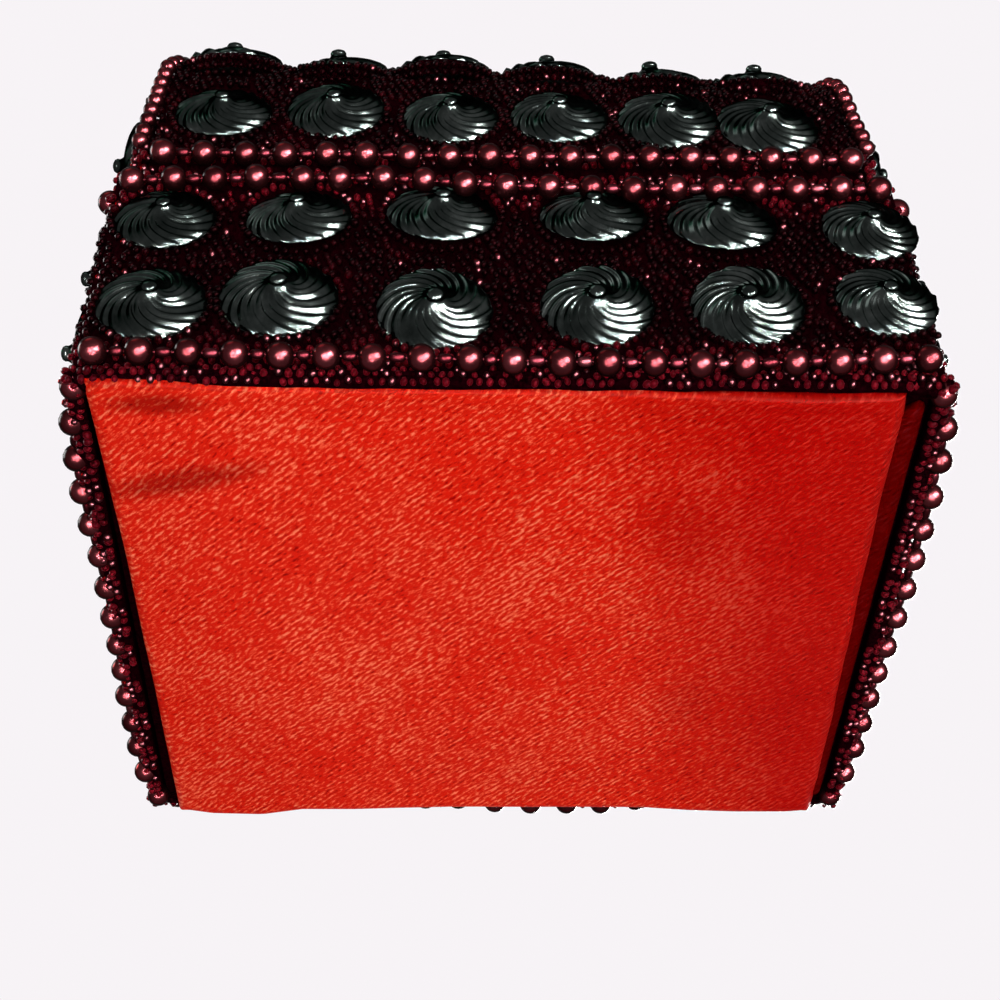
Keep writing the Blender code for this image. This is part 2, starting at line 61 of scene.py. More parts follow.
# Beaded faces, as the frame has them
SKIN = 0.0015                    # depth of the beaded cloth
CLOTH_IN = 0.00035               # from a beaded face in to its cloth
GAP = 0.0003
BODY_HALF_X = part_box("body_front_beading")[1].x
BODY_HALF_Y = -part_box("body_front_beading")[1].y + SKIN
BODY_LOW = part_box("body_front_beading")[0].z
BODY_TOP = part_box("body_front_beading")[1].z
LID_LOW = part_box("lid_front_beading")[0].z
LID_EDGE = 0.0626                # where the padded top starts
LID_HALF_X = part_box("lid_front_beading")[1].x
LID_HALF_Y = 0.0430
LID_LEAN_X = 0.0024              # how far each end face leans in
LID_LEAN_Y = 0.0008
LID_RISE = 0.0144
LID_SLOPE = 0.0120
LID_ROUND = 0.0040
SHOULDER = 2.3                   # 2 is a round shoulder, more is a fuller one
LID_CROWN = 0.0030
LID_TILT = 0.06                  # how far the soft top falls from the left to the right

# Swirl studs
STUD_RADIUS = 0.0066
LID_STUD_RADIUS = 0.0063
STUD_HEIGHT = 0.0042
RIDGES = 17
RIDGE_STEPS = 6                  # mesh steps across one ridge
RIDGE_DEPTH = 0.085              # as a share of the stud's radius
SWIRL = 105.0                    # degrees that a ridge turns between the tip and the rim
# Middles of the front wall's studs, given one by one: distance along the wall and height
FRONT_STUDS = {
    "body": ((-0.0435, 0.0144), (-0.0282, 0.0158), (-0.0092, 0.0136), (0.0106, 0.0146), (0.0291, 0.0149),
             (0.0465, 0.0162), (-0.0439, 0.0315), (-0.0269, 0.0322), (-0.0085, 0.0334), (0.0111, 0.0332),
             (0.0278, 0.0322), (0.0469, 0.0308)),
    "lid": ((-0.0392, 0.0580), (-0.0236, 0.0589), (-0.0075, 0.0573), (0.0077, 0.0578), (0.0230, 0.0574),
            (0.0369, 0.0561))}
# Degrees that each of them tips up
FRONT_TIPS = {"body": (0, 0, -4, -3, -4, -1, 4, 6, 8, 8, 6, 3), "lid": (0, 0, 0, 0, -1, -2)}
# Their sizes, as shares of the usual radius
FRONT_SIZES = {"body": (1.04, 1.12, 1.12, 1.09, 1.09, 1.0, 1.01, 1.05, 1.13, 1.10, 1.13, 0.98),
               "lid": (1.10, 1.10, 1.08, 1.12, 1.16, 1.18)}
FRONT_STUD_TALL = 0.80           # the front wall's studs are pressed flatter
LID_END_PROUD = 0.0021           # how far the studs on the lid's ends stand off
LID_END_SIZE = 1.08
BODY_ROWS = (0.01485, 0.0300)
LID_ROW = 0.0559
TOP_FRONT_X = (-0.0398, -0.0241, -0.0087, 0.0067, 0.0222, 0.0374)
TOP_FRONT_LIFT = (-0.0002, -0.0012, -0.0003, -0.0005, -0.0011, -0.0005)
TOP_FRONT_LEAN = 40.0            # degrees that the top's front row leans forward
TOP_FRONT_RADIUS = 0.0079
TOP_FRONT_TALL = 0.88
SIDE_STUD_Y = (-0.0350, -0.0175, 0.0, 0.0175, 0.0350)
LID_SIDE_STUD_Y = (-0.0342, -0.0171, 0.0, 0.0171, 0.0342)
TOP_X = (-0.0363, -0.0218, -0.0073, 0.0073, 0.0218, 0.0363)
TOP_Y = (-0.0376, -0.0226, -0.0075, 0.0075, 0.0226, 0.0376)

# Satin weave, and its colours from the dark between the slubs to the palest slub; the light and pale colours
# of the slubs are painted sheen
SATIN_REDS = ((0.36, 0.0012, 0.0006), (0.75, 0.0120, 0.0035), (0.92, 0.100, 0.040), (0.96, 0.20, 0.10))
WEAVE_TURN = -45.0               # degrees from X to the rows of slubs, as seen from above
WEAVE_ROW = 0.00083              # from one row to the next
# Darker patches on the satin: middle, half size, turn and colour, given one by one; the long thin one along
# the front edge is painted shade, the others are darker ovals
SATIN_DARK_PATCHES = (((-0.040, -0.0275, 0), (0.0150, 0.0034), -13.0, (0.54, 0.36, 0.36)),
           ((-0.0415, -0.0400, 0), (0.0090, 0.0026), 0.0, (0.55, 0.42, 0.42)),
           ((0.0, -0.0436, 0), (0.0800, 0.0018), 0.0, (0.62, 0.40, 0.40)),
           ((0.022, -0.018, 0), (0.0080, 0.0120), -20.0, (0.86, 0.60, 0.60)),
           ((0.026, 0.016, 0), (0.0060, 0.0090), 10.0, (0.88, 0.62, 0.62)))

# Creases in the satin, as shares of the pad's half size: start, end and depth
CREASES = (((0.97, 0.66), (0.66, 0.78), 0.00055), ((0.98, 0.93), (0.72, 0.97), 0.00035))
CREASE_WIDTH = 0.035

# How far each edge of the satin pad lies outside its plain line
PAD_EDGES = {
    "left": ((-0.0434, 0.0013), (-0.0330, 0.0014), (-0.0200, 0.0011), (0.0048, 0.0010), (0.0160, 0.0006),
             (0.0280, 0.0003), (0.0360, 0.0), (0.0434, -0.0004)),
    "right": ((-0.0434, -0.0020), (-0.0400, -0.0015), (-0.0246, -0.0011), (-0.0155, -0.0006),
              (0.0048, 0.0001), (0.0360, 0.0003), (0.0434, -0.0003)),
    "front": ((-0.0490, 0.0002), (-0.0410, 0.0002), (-0.0340, -0.0003), (0.0130, -0.0005), (0.0200, -0.0007),
              (0.0320, -0.0012), (0.0380, -0.0015), (0.0490, -0.0012)),
    "back": ((-0.0490, 0.0008), (-0.0455, 0.0016), (-0.0375, 0.0019), (-0.0310, 0.0005), (-0.0224, 0.0005),
             (-0.0148, 0.0001), (-0.0070, -0.0002), (0.0234, -0.0002), (0.0310, 0.0006), (0.0386, 0.0010),
             (0.0470, 0.0009), (0.0490, 0.0006))}
# A fold of satin that shows beside the pad's right edge, coloured in painted shade, as distances out from
# the wall and heights
SATIN_FOLD = ((-0.0023, 0.0018), (-0.0027, 0.0009), (-0.0036, 0.0006), (-0.0048, 0.0008), (-0.0056, 0.0014),
              (-0.0052, 0.0020), (-0.0034, 0.0022))

# The turned-in hem, as distances out from the wall and heights; the first ones carry seeds
HEM_SEWN = 4
HEM_END = ((0.0001, 0.0031), (0.0008, 0.0022), (0.0003, 0.0011), (-0.0012, 0.0009), (-0.0016, 0.0014),
           (-0.0012, 0.0024))
HEMS = {"left": HEM_END, "right": HEM_END,
        "front": ((-0.0002, 0.0031), (0.0003, 0.0022), (0.0002, 0.0010), (-0.0009, 0.0005),
                  (-0.0012, 0.0010), (-0.0008, 0.0024)),
        "back": ((-0.0002, 0.0034), (0.0003, 0.0027), (0.0003, 0.0020), (-0.0001, 0.0016),
                 (-0.0006, 0.0018), (-0.0005, 0.0028))}

# Seed beads
SEED_RADIUS = 0.00060
SEED_PITCH = 0.00128
SEED_ROW = SEED_PITCH * 0.92     # from one row of seeds to the next
TOP_EDGE_IN = 0.0003             # how far the top's seeds keep in from its edge
RING_OFF = 0.00035               # from a stud's rim to the middle of the seeds round it
SKIRT_DROPS = (0.0005, 0.0016, 0.0027)    # rows of seeds below the rims of the top's front studs

# Pearl strands
PEARL_RADIUS = 0.00175
CORNER_RADIUS = 0.0012
CORNER_PITCH = 0.0026
CORNER_FOOT = 0.0008             # how far its foot lies to the side of the corner
CORNER_HUG = 0.0007              # from the lid's corner to the middle of its pearls
FRONT_PITCH = 0.00542
SIDE_PITCH = 0.0059
CORNER_ROUND = 0.0020
THREAD_SIDES = 8
THREAD_THICK = 0.13              # as a share of the pearls' radius
SPACER_THICK = 0.36
SPACER_LONG = 0.52               # as a share of the gap between two pearls
BASE_STRAND = 0.0025
BODY_RIM = 0.0385
LID_RIM = 0.0445

# The strands are sewn on by hand: some lie nearer the wall, some lie to one side, and some bow
STRAND_PRESS = {
    "base_left_pearls": ((-0.0413, 0.0026), (-0.0354, 0.0016), (-0.0290, 0.0009), (-0.0220, 0.0010),
                         (-0.0040, 0.0015), (0.0080, 0.0013), (0.0270, 0.0009), (0.0330, 0.0013),
                         (0.0380, 0.0018), (0.0413, 0.0027)),
    "base_right_pearls": ((-0.0413, 0.0025), (-0.0354, 0.0011), (-0.0290, 0.0007), (-0.0220, 0.0003),
                          (-0.0040, 0.0003), (0.0080, 0.0008), (0.0260, 0.0008), (0.0320, 0.0012),
                          (0.0380, 0.0015), (0.0413, 0.0027)),
    "body_rim_left_pearls": ((-0.0413, 0.0015), (-0.0354, 0.0008), (0.0, 0.0004)),
    "body_rim_right_pearls": ((-0.0413, 0.0018), (-0.0354, 0.0012), (0.0, 0.0004)),
    "lid_rim_left_pearls": ((-0.0390, 0.0012), (-0.0300, 0.0004), (0.0, 0.0003)),
    "lid_rim_right_pearls": ((-0.0390, 0.0012), (-0.0300, 0.0004), (0.0, 0.0003))}
STRAND_SHIFT = {"base_front_pearls": 0.0002, "lid_rim_front_pearls": 0.0004}
STRAND_BOW = {
    "base_front_pearls": ((-0.045, 0.0008), (-0.022, 0.0003), (0.010, -0.0004), (0.026, -0.0005),
                          (0.043, 0.0006)),
    "base_back_pearls": ((-0.006, 0.0018), (0.001, 0.0009), (0.017, 0.0009), (0.024, 0.0018)),
    "body_rim_front_pearls": ((-0.047, -0.0012), (-0.030, -0.0003), (-0.014, -0.0003), (-0.003, -0.0014),
                              (0.014, -0.0020), (0.045, -0.0014))}

STRAIGHT = ((0.0, 0.0),)
SINK_DROP = 0.32                 # how far a pressed strand also slides down, as a share of the press

OUTWARD = {"front": (0, -1), "back": (0, 1), "left": (-1, 0), "right": (1, 0)}
SIDES = tuple(OUTWARD)
ENDS = ("left", "right")

# Node materials

class Look:
    """A node material or a world, with short ways to make its nodes and join them."""

    def __init__(self, name, home=None):
        self.block = (bpy.data.materials if home is None else home).new(name)
        self.block.use_nodes = True
        self.nodes = self.block.node_tree.nodes
        self.links = self.block.node_tree.links

    def put(self, socket, value):
        """Sets a socket to a value, or joins another node's output to it."""
        if isinstance(value, bpy.types.NodeSocket):
            self.links.new(value, socket)
        else:
            socket.default_value = value

    def add(self, kind, inputs, **settings):
        made = self.nodes.new("ShaderNode" + kind)
        for name, value in settings.items():
            setattr(made, name, value)
        for key, value in inputs.items():
            self.put(made.inputs[key], value)
        return made

    def finish(self, **values):
        """Sets the shader's inputs, whose names have a space for each _ here."""
        for name, value in values.items():
            self.put(self.nodes["Principled BSDF"].inputs[name.replace("_", " ")], value)
        return self.block

    def mapped(self, scale=(1, 1, 1), turn=0.0, middle=(0, 0, 0)):
        """Object coordinates of a pattern whose X axis is turned by so many degrees, as seen from above."""
        place = self.add("TexCoord", {}).outputs["Object"]
        inputs = {"Vector": place, "Location": middle, "Scale": [1 / value for value in scale],
                  "Rotation": (0, 0, math.radians(turn))}
        return self.add("Mapping", inputs, vector_type="TEXTURE").outputs["Vector"]

    def noise(self, scale, detail, rough, stretch=(1, 1, 1), turn=0.0):
        inputs = {"Vector": self.mapped(stretch, turn), "Scale": scale, "Detail": detail, "Roughness": rough}
        return self.add("TexNoise", inputs).outputs["Fac"]

    def calc(self, operation, *values):
        return self.add("Math", dict(enumerate(values)), operation=operation).outputs[0]

    def ramp(self, value, *stops):
        made = self.add("ValToRGB", {"Fac": value})
        elements = made.color_ramp.elements
        elements[0].position, elements[0].color = stops[0][0], (*stops[0][1], 1)
        elements[1].position, elements[1].color = stops[-1][0], (*stops[-1][1], 1)
        for place, colour in stops[1:-1]:
            elements.new(place).color = (*colour, 1)
        return made.outputs["Color"]

    def between(self, value, low, high):
        """0 to 1 as a value from low to high."""
        return self.add("MapRange", {"Value": value, "To Min": low, "To Max": high}).outputs["Result"]

    def fade(self, value, far, near):
        """0 where a value is far or more, rising to 1 where it is near or less."""
        inputs = {"Value": value, "From Min": far, "From Max": near}
        return self.add("MapRange", inputs, interpolation_type="SMOOTHSTEP").outputs["Result"]

    def mixed(self, share, first, second, blend="MIX"):
        inputs = {"Factor": share, "A": first, "B": second}
        return self.add("Mix", inputs, data_type="RGBA", blend_type=blend).outputs["Result"]

    def bump(self, height, depth, normal=None):
        inputs = {"Strength": 1.0, "Distance": depth, "Height": height}
        if normal is not None:
            inputs["Normal"] = normal
        return self.add("Bump", inputs).outputs["Normal"]

    def own_chance(self):
        """A random value for each bead."""
        return self.add("NewGeometry", {}).outputs["Random Per Island"]


def satin(name, tone=1.0, painted_shade=True, gloss=0.015):
    """Red satin: slubs lie in rows along its diagonal, their pale pink colours a painted sheen, and its tone
    changes slowly; the pad's satin also gets painted shade towards its sides and darker patches.
    """
    look = Look(name)
    rows = look.add("TexWave", {"Vector": look.mapped(turn=WEAVE_TURN), "Scale": 0.314 / WEAVE_ROW,
                                "Distortion": 3.0, "Detail": 2.0, "Detail Scale": 1.5}, bands_direction="Y")
    slubs = look.noise(1.0, 2.0, 0.6, (900, 2300, 900), WEAVE_TURN)
    threads = look.noise(1.0, 2.0, 0.6, (900, 6500, 900), WEAVE_TURN)
    lifted = look.calc("MULTIPLY_ADD", rows.outputs["Fac"], 0.16, slubs)
    lifted = look.calc("MULTIPLY_ADD", look.noise(45.0, 4.0, 0.65), 0.44, lifted)
    dark, main, light, pale = (tuple(np.array(colour) * tone) for colour in SATIN_REDS)
    # The light and pale slub colours are painted sheen on the weave's own slubs
    woven = look.ramp(lifted, (0.50, dark), (0.67, main), (0.80, main), (0.94, light), (1.0, pale))
    if painted_shade:
        # Painted shade: the satin grows darker towards its right side, most towards the front, and a little
        # darker at its far left.
        sides = look.add("SeparateXYZ", {"Vector": look.mapped()}).outputs
        across = look.calc("MULTIPLY_ADD", sides["X"], 10.0, 0.44)
        across = look.calc("MULTIPLY_ADD", sides["Y"], -2.0, across)
        shade = look.ramp(across, (0.02, (0.92, 0.84, 0.84)), (0.16, (1, 1, 1)), (0.58, (0.95, 0.90, 0.90)),
                          (0.80, (0.62, 0.12, 0.14)), (0.99, (0.58, 0.10, 0.14)))
        woven = look.mixed(1.0, woven, shade, "MULTIPLY")
        # Darker ovals multiplied into the satin; the one along the front edge is painted shade
        for middle, size, turn, colour in SATIN_DARK_PATCHES:
            oval = look.mapped((1 / size[0], 1 / size[1], 1), turn, middle)
            away = look.add("VectorMath", {0: oval}, operation="LENGTH").outputs["Value"]
            dark_patch = look.ramp(look.fade(away, 1.0, 0.0), (0.0, (1, 1, 1)), (0.8, colour))
            woven = look.mixed(1.0, woven, dark_patch, "MULTIPLY")
    weave = look.bump(slubs, 0.00012, look.bump(threads, 0.00008))
    return look.finish(Base_Color=woven, Roughness=look.between(slubs, 0.38, 0.60), Normal=weave,
                       Anisotropic=0.5, Specular_IOR_Level=gloss, Specular_Tint=(1.0, 0.35, 0.25, 1))


def near_strands(look):
    """1 beside a strand of pearls and 0 away from the strands, by the height on the box."""
    height = look.add("SeparateXYZ", {"Vector": look.mapped()}).outputs["Z"]
    found = []
    for level, reach in ((BASE_STRAND, 0.0070), ((BODY_RIM + LID_RIM) / 2, 0.0100)):
        off = look.calc("ABSOLUTE", look.calc("SUBTRACT", height, level))
        found.append(look.fade(off, reach, reach * 0.35))
    return look.calc("MAXIMUM", *found)


def bead_glass():
    """Dark red seed beads: most look black, those beside the pearls are painted redder and brighter as a
    glow of light in the glass, and a few glint.
    """
    look = Look("seed_bead_glass")
    own = look.own_chance()
    beside = near_strands(look)
    patches = look.calc("MULTIPLY", look.noise(130.0, 2.0, 0.6), 0.5)
    # Painted light: the tone rises beside the strands, so those seeds show a painted red glow
    tone = look.calc("MULTIPLY_ADD", own, 0.16, look.calc("MULTIPLY_ADD", beside, 0.42, patches))
    glass = look.ramp(tone, (0.22, (0.0014, 0.0001, 0.0002)), (0.38, (0.0055, 0.0002, 0.0006)),
                      (0.60, (0.048, 0.0009, 0.0032)), (0.90, (0.200, 0.0050, 0.0120)))
    shiny = look.calc("GREATER_THAN", own, look.calc("MULTIPLY_ADD", beside, -0.19, 0.965))
    return look.finish(Base_Color=look.mixed(shiny, glass, (0.020, 0.0055, 0.0066, 1)), Metallic=shiny,
                       Roughness=0.30, Specular_IOR_Level=0.012, Specular_Tint=(0.50, 0.10, 0.13, 1))


def pearl_finish():
    """Maroon pearls: nearly black where no light falls, with a soft pink lustre."""
    look = Look("maroon_pearl")
    mottle = look.noise(420.0, 3.0, 0.6)
    tone = look.calc("MULTIPLY_ADD", look.own_chance(), 0.5, mottle)
    colour = look.ramp(tone, (0.35, (0.020, 0.0032, 0.0040)), (0.75, (0.030, 0.0054, 0.0064)),
                       (1.0, (0.046, 0.0088, 0.0104)))
    return look.finish(Base_Color=colour, Normal=look.bump(mottle, 0.00006), Metallic=0.85, Roughness=0.23,
                       IOR=1.15, Specular_Tint=(0.06, 0.006, 0.010, 1))


def spacer_glass():
    """The small dark red beads between the pearls, with a soft pink glint."""
    look = Look("spacer_glass")
    colour = look.ramp(look.own_chance(), (0.2, (0.014, 0.0018, 0.0026)), (0.7, (0.030, 0.0050, 0.0070)),
                       (1.0, (0.044, 0.012, 0.014)))
    return look.finish(Base_Color=colour, Metallic=0.8, Roughness=0.34, IOR=1.15,
                       Specular_Tint=(0.12, 0.012, 0.022, 1))


def stud_metal():
    """Green-black plated metal, a little worn, with soft tarnish."""
    look = Look("dark_stud_metal")
    tarnish = look.noise(260.0, 4.0, 0.6)
    colour = look.ramp(tarnish, (0.30, (0.0066, 0.0083, 0.0076)), (0.52, (0.0145, 0.0174, 0.0161)),
                       (0.75, (0.031, 0.0350, 0.0330)))
    return look.finish(Base_Color=colour, Roughness=look.between(tarnish, 0.11, 0.22), Metallic=1.0,
                       Specular_Tint=(0.16, 0.19, 0.18, 1))


def ground_cloth():
    """Nearly black maroon cloth that the beads are sewn on."""
    look = Look("maroon_ground_cloth")
    threads = look.noise(1.0, 2.0, 0.6, (1800, 1800, 900))
    colour = look.ramp(threads, (0.3, (0.003, 0.0001, 0.0005)), (0.8, (0.014, 0.0004, 0.002)))
    return look.finish(Base_Color=colour, Normal=look.bump(threads, 0.00015), Roughness=0.85,
                       Specular_IOR_Level=0.0)


def card_finish():
    """Dark grey board with paler flecks of pulp."""
    look = Look("grey_pulp_board")
    pulp = look.noise(900.0, 5.0, 0.7)
    colour = look.ramp(pulp, (0.30, (0.030, 0.026, 0.024)), (0.52, (0.065, 0.058, 0.052)),
                       (0.72, (0.13, 0.12, 0.11)))
    return look.finish(Base_Color=colour, Normal=look.bump(pulp, 0.00015), Roughness=0.92)


def wadding_finish():
    look = Look("white_wadding")
    fibres = look.noise(1.0, 5.0, 0.75, (700, 300, 700))
    colour = look.ramp(fibres, (0.3, (0.55, 0.53, 0.49)), (0.7, (0.80, 0.78, 0.74)))
    return look.finish(Base_Color=colour, Normal=look.bump(fibres, 0.0004), Roughness=0.95)


def brass_finish():
    """Brass with fine brush lines and darker, worn patches."""
    look = Look("worn_brass")
    wear = look.noise(500.0, 5.0, 0.65)
    lines = look.noise(1.0, 2.0, 0.5, (300, 9000, 9000))
    colour = look.ramp(wear, (0.30, (0.30, 0.18, 0.06)), (0.50, (0.62, 0.43, 0.17)),
                       (0.75, (0.78, 0.60, 0.30)))
    return look.finish(Base_Color=colour, Roughness=look.between(wear, 0.20, 0.45),
                       Normal=look.bump(lines, 0.00002), Metallic=1.0)


# Meshes

def placed(name, data):
    thing = bpy.data.objects.new(name, data)
    bpy.context.scene.collection.objects.link(thing)
    return thing


def piece(name, points, faces, finish, body, slot, smooth=True):
    mesh = bpy.data.meshes.new(name)
    mesh.from_pydata(points, [], faces)
    mesh.update()
    if smooth:
        mesh.shade_smooth()
    mesh.materials.append(finish)
    thing = placed(name, mesh)
    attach(thing, body)
    return thing


def repeated(template, places):
    """Points and faces of a template at each place; a place is three rows of a 4x4 matrix."""
    points, blocks = template
    turned = np.einsum("pij,nj->pni", places[:, :, :3], points) + places[:, None, :, 3]
    starts = np.arange(len(places)) * len(points)
    faces = []
    for block in blocks:
        faces.extend((block[None] + starts[:, None, None]).reshape(-1, block.shape[1]).tolist())
    return turned.reshape(-1, 3), faces


def merged(parts):
    """Several sets of points and faces as one."""
    faces = []
    start = 0
    for points, some_faces in parts:
        faces.extend([[index + start for index in face] for face in some_faces])
        start += len(points)
    return np.concatenate([points for points, some_faces in parts]), faces


def grid_faces(down, across):
    """Quads between the points of a grid with so many rows and columns."""
    return [(row * across + column, row * across + column + 1, (row + 1) * across + column + 1,
             (row + 1) * across + column) for row in range(down - 1) for column in range(across - 1)]


def loft(rings, sides):
    """Blocks of faces for so many rings of points: the quads between them, and a face at each end."""
    here = np.arange(sides)
    after = (here + 1) % sides
    quads = np.stack((here, after, sides + after, sides + here), axis=1)
    starts = np.arange(rings - 1) * sides
    quads = (quads[None] + starts[:, None, None]).reshape(-1, 4)
    return [quads, (here + (rings - 1) * sides)[None], here[::-1][None]]


def loft_faces(rings, sides):
    return [face for block in loft(rings, sides) for face in block.tolist()]


def tidy_mesh(thing, level=None, shrink=1.0):
    """Turns all faces outwards; with a level, first draws an open sheet's rim there and closes it."""
    bm = bmesh.new()
    bm.from_mesh(thing.data)
    if level is not None:
        drawn = bmesh.ops.extrude_edge_only(bm, edges=[edge for edge in bm.edges if edge.is_boundary])
        for item in drawn["geom"]:
            if isinstance(item, bmesh.types.BMVert):
                item.co = (item.co.x * shrink, item.co.y * shrink, level)
        bmesh.ops.holes_fill(bm, edges=[edge for edge in bm.edges if edge.is_boundary])
    bmesh.ops.recalc_face_normals(bm, faces=bm.faces)
    bm.to_mesh(thing.data)
    bm.free()
    if level is not None:
        thing.data.shade_smooth()


def random_for(name, more=0):
    """The same random draws each time for a name."""
    return np.random.default_rng(sum(map(ord, name)) + more)


def unit(ways):
    return ways / np.linalg.norm(ways, axis=-1, keepdims=True)


def ball(cuts, squash=1.0):
    """A cube blown up to a sphere of radius 1, in quads of even size, flattened along Z."""
    bm = bmesh.new()
    bmesh.ops.create_cube(bm, size=2)
    bmesh.ops.subdivide_edges(bm, edges=bm.edges, cuts=cuts, use_grid_fill=True)
    bm.verts.index_update()
    points = np.array([vert.co.normalized() for vert in bm.verts])
    points[:, 2] *= squash
    quads = np.array([[vert.index for vert in face.verts] for face in bm.faces])
    bm.free()
    return points, [quads]


def smooth_step(value, low, high):
    share = np.clip((value - low) / (high - low), 0, 1)
    return share * share * (3 - 2 * share)


def stud_template(seed, foot=0.0):
    """A stud of radius 1: a shallow dome of swirling ridges, drawn up to a small knob, on a foot."""
    profile = ((1.000, 0.00), (1.005, 0.06), (0.985, 0.14), (0.93, 0.22), (0.82, 0.31), (0.68, 0.385),
               (0.52, 0.450), (0.38, 0.505), (0.29, 0.56), (0.225, 0.63), (0.175, 0.71), (0.150, 0.79),
               (0.152, 0.87), (0.128, 0.94), (0.075, 0.985), (0.012, 1.00))
    knots = np.array(profile)
    fine = np.linspace(0, len(knots) - 1, 2 * len(knots) - 1)
    reach = np.interp(fine, np.arange(len(knots)), knots[:, 0])
    rise = np.interp(fine, np.arange(len(knots)), knots[:, 1]) * STUD_HEIGHT / STUD_RADIUS
    count = RIDGES * RIDGE_STEPS
    base = np.arange(count) / RIDGE_STEPS * TAU
    uneven = np.random.default_rng(seed).uniform(0.50, 1.0, RIDGES)
    height = np.repeat(uneven, RIDGE_STEPS)
    across = base / TAU % 1
    wave = np.minimum(across / 0.72, (1 - across) / 0.28) * height
    angle = np.arange(count) / count * TAU
    if foot:
        reach = np.concatenate(([reach[0] * 0.99], reach))
        rise = np.concatenate(([-foot], rise))
    points = []
    for radius, level in zip(reach, rise):
        fade = smooth_step(radius, 0.20, 0.50)
        turn = angle + math.radians(SWIRL) * radius
        lift = RIDGE_DEPTH * fade * (wave - 0.75) * (1.0 if level > 0.02 else 0.0)
        edge = radius * (1 + 0.030 * fade * (wave - 1.0))
        points.append(np.stack((edge * np.cos(turn), edge * np.sin(turn),
                                np.maximum(level + lift, min(level, -0.02))), axis=1))
    return np.concatenate(points), loft(len(reach), count)


def along_matrix(place, out, along, size):
    """Rows of a matrix that puts a template's X along a thread and its Z outwards."""
    side = np.cross(out, along)
    turn = np.stack((along, side, out), axis=-1) * size
    return np.concatenate((turn, place[..., None]), axis=-1)


# Where things lie on the box

def half_widths(part, height):
    """Half width and half depth of the beaded faces at a height."""
    if part == "body":
        return BODY_HALF_X + 0 * height, BODY_HALF_Y + 0 * height
    rise = (height - LID_LOW) / (LID_EDGE - LID_LOW)
    return LID_HALF_X - LID_LEAN_X * rise, LID_HALF_Y - LID_LEAN_Y * rise


def by_wall(side, out, along, height):
    """Points or ways beside a wall: how far out, how far along the wall, and how high they reach."""
    way_x, way_y = OUTWARD[side]
    flat = (way_x * out, along) if way_x else (along, way_y * out)
    return np.stack(np.broadcast_arrays(*flat, height), axis=-1)


def on_wall(part, side, along, height, off=0.0):
    """Points off a beaded face, the way out, and the way along it, for arrays of places."""
    half_x, half_y = half_widths(part, height)
    wall, lean = (half_x, LID_LEAN_X) if side in ENDS else (half_y, LID_LEAN_Y)
    tilt = 0.0 if part == "body" else math.atan2(lean, LID_EDGE - LID_LOW)
    many = np.ones((len(along), 1))
    out = by_wall(side, math.cos(tilt), 0.0, math.sin(tilt)) * many
    place = by_wall(side, wall, along, height) + np.reshape(off, (-1, 1)) * out
    return place, out, by_wall(side, 0.0, 1.0, 0.0) * many


def dome_height(x, y):
    half_x, half_y = half_widths("lid", LID_EDGE)
    over_x = 1 - (half_x - np.abs(x)) / LID_ROUND
    over_y = 1 - (half_y - np.abs(y)) / LID_SLOPE
    over = np.clip(np.maximum(over_x, over_y), 0, 1)
    full = (1 - over ** SHOULDER) ** (1 / SHOULDER)
    crown = LID_CROWN * (1 - (x / half_x) ** 2) * (1 - (y / half_y) ** 2)
    return LID_EDGE + (LID_RISE - LID_TILT * x) * full + crown


def on_top(x, y, off):
    """Points off the padded top, the way out, and a way along it."""
    step = 0.0002
    slope_x = (dome_height(x + step, y) - dome_height(x - step, y)) / (2 * step)
    slope_y = (dome_height(x, y + step) - dome_height(x, y - step)) / (2 * step)
    out = unit(np.stack((-slope_x, -slope_y, np.ones_like(x)), axis=1))
    place = np.stack((x, y, dome_height(x, y)), axis=1) + off * out
    return place, out, unit(np.cross(out, (0.0, -1.0, 0.0)))


def wall_studs(part, side):
    """Middles of the studs on one wall, as distances along it and heights, with their radii."""
    radius = STUD_RADIUS if part == "body" else LID_STUD_RADIUS
    if side == "front":
        return np.array(FRONT_STUDS[part]), radius * np.array(FRONT_SIZES[part])
    rows = BODY_ROWS if part == "body" else (LID_ROW,)
    if side == "back":
        line = np.mean(np.reshape([along for along, height in FRONT_STUDS[part]], (-1, 6)), axis=0)
        line = -line if part == "body" else -line[1:-1]
    else:
        line = SIDE_STUD_Y if part == "body" else LID_SIDE_STUD_Y
    spots = np.array([(along, row) for row in rows for along in line])
    return spots, np.full(len(spots), radius)


def top_studs():
    spots = [(x, TOP_Y[0]) for x in TOP_FRONT_X]
    spots.extend((x, y) for y in TOP_Y[1:] for x in TOP_X)
    return np.array(spots)


STUD_KINDS = [stud_template(seed) for seed in range(3)]
FOOTED_KINDS = [stud_template(seed, foot=0.32) for seed in range(3)]
SEED = ball(1, 0.78)
SMALL_BALL = ball(2)
PEARL = ball(5)


def set_studs(name, place, out, thread, radius, rng, body, kinds=STUD_KINDS, tall=1.0):
    """Swirl studs at their places, each turned its own way and tipped a little; a foot is dark cloth."""
    parts = []
    count = len(place)
    angles = rng.uniform(0, TAU, count)
    tips = rng.normal(0, 0.035, (count, 2))
    sizes = rng.uniform(0.97, 1.0, count) * radius
    for number in range(count):
        side = np.cross(out[number], thread[number])
        normal = unit(out[number] + tips[number, 0] * thread[number] + tips[number, 1] * side)
        along = math.cos(angles[number]) * thread[number] + math.sin(angles[number]) * side
        along = unit(along - normal * (along @ normal))
        matrix = along_matrix(place[number], normal, along, sizes[number])
        matrix[:, 2] *= tall
        parts.append(repeated(kinds[number % len(kinds)], matrix[None]))
    points, faces = merged(parts)
    studs = piece(name, points, faces, METAL, body, "seed_beads")
    if kinds is FOOTED_KINDS:
        studs.data.materials.append(CLOTH)
        each = len(faces) // count
        under = (np.arange(len(faces)) % each < RIDGES * RIDGE_STEPS).astype(int)
        studs.data.polygons.foreach_set("material_index", under)


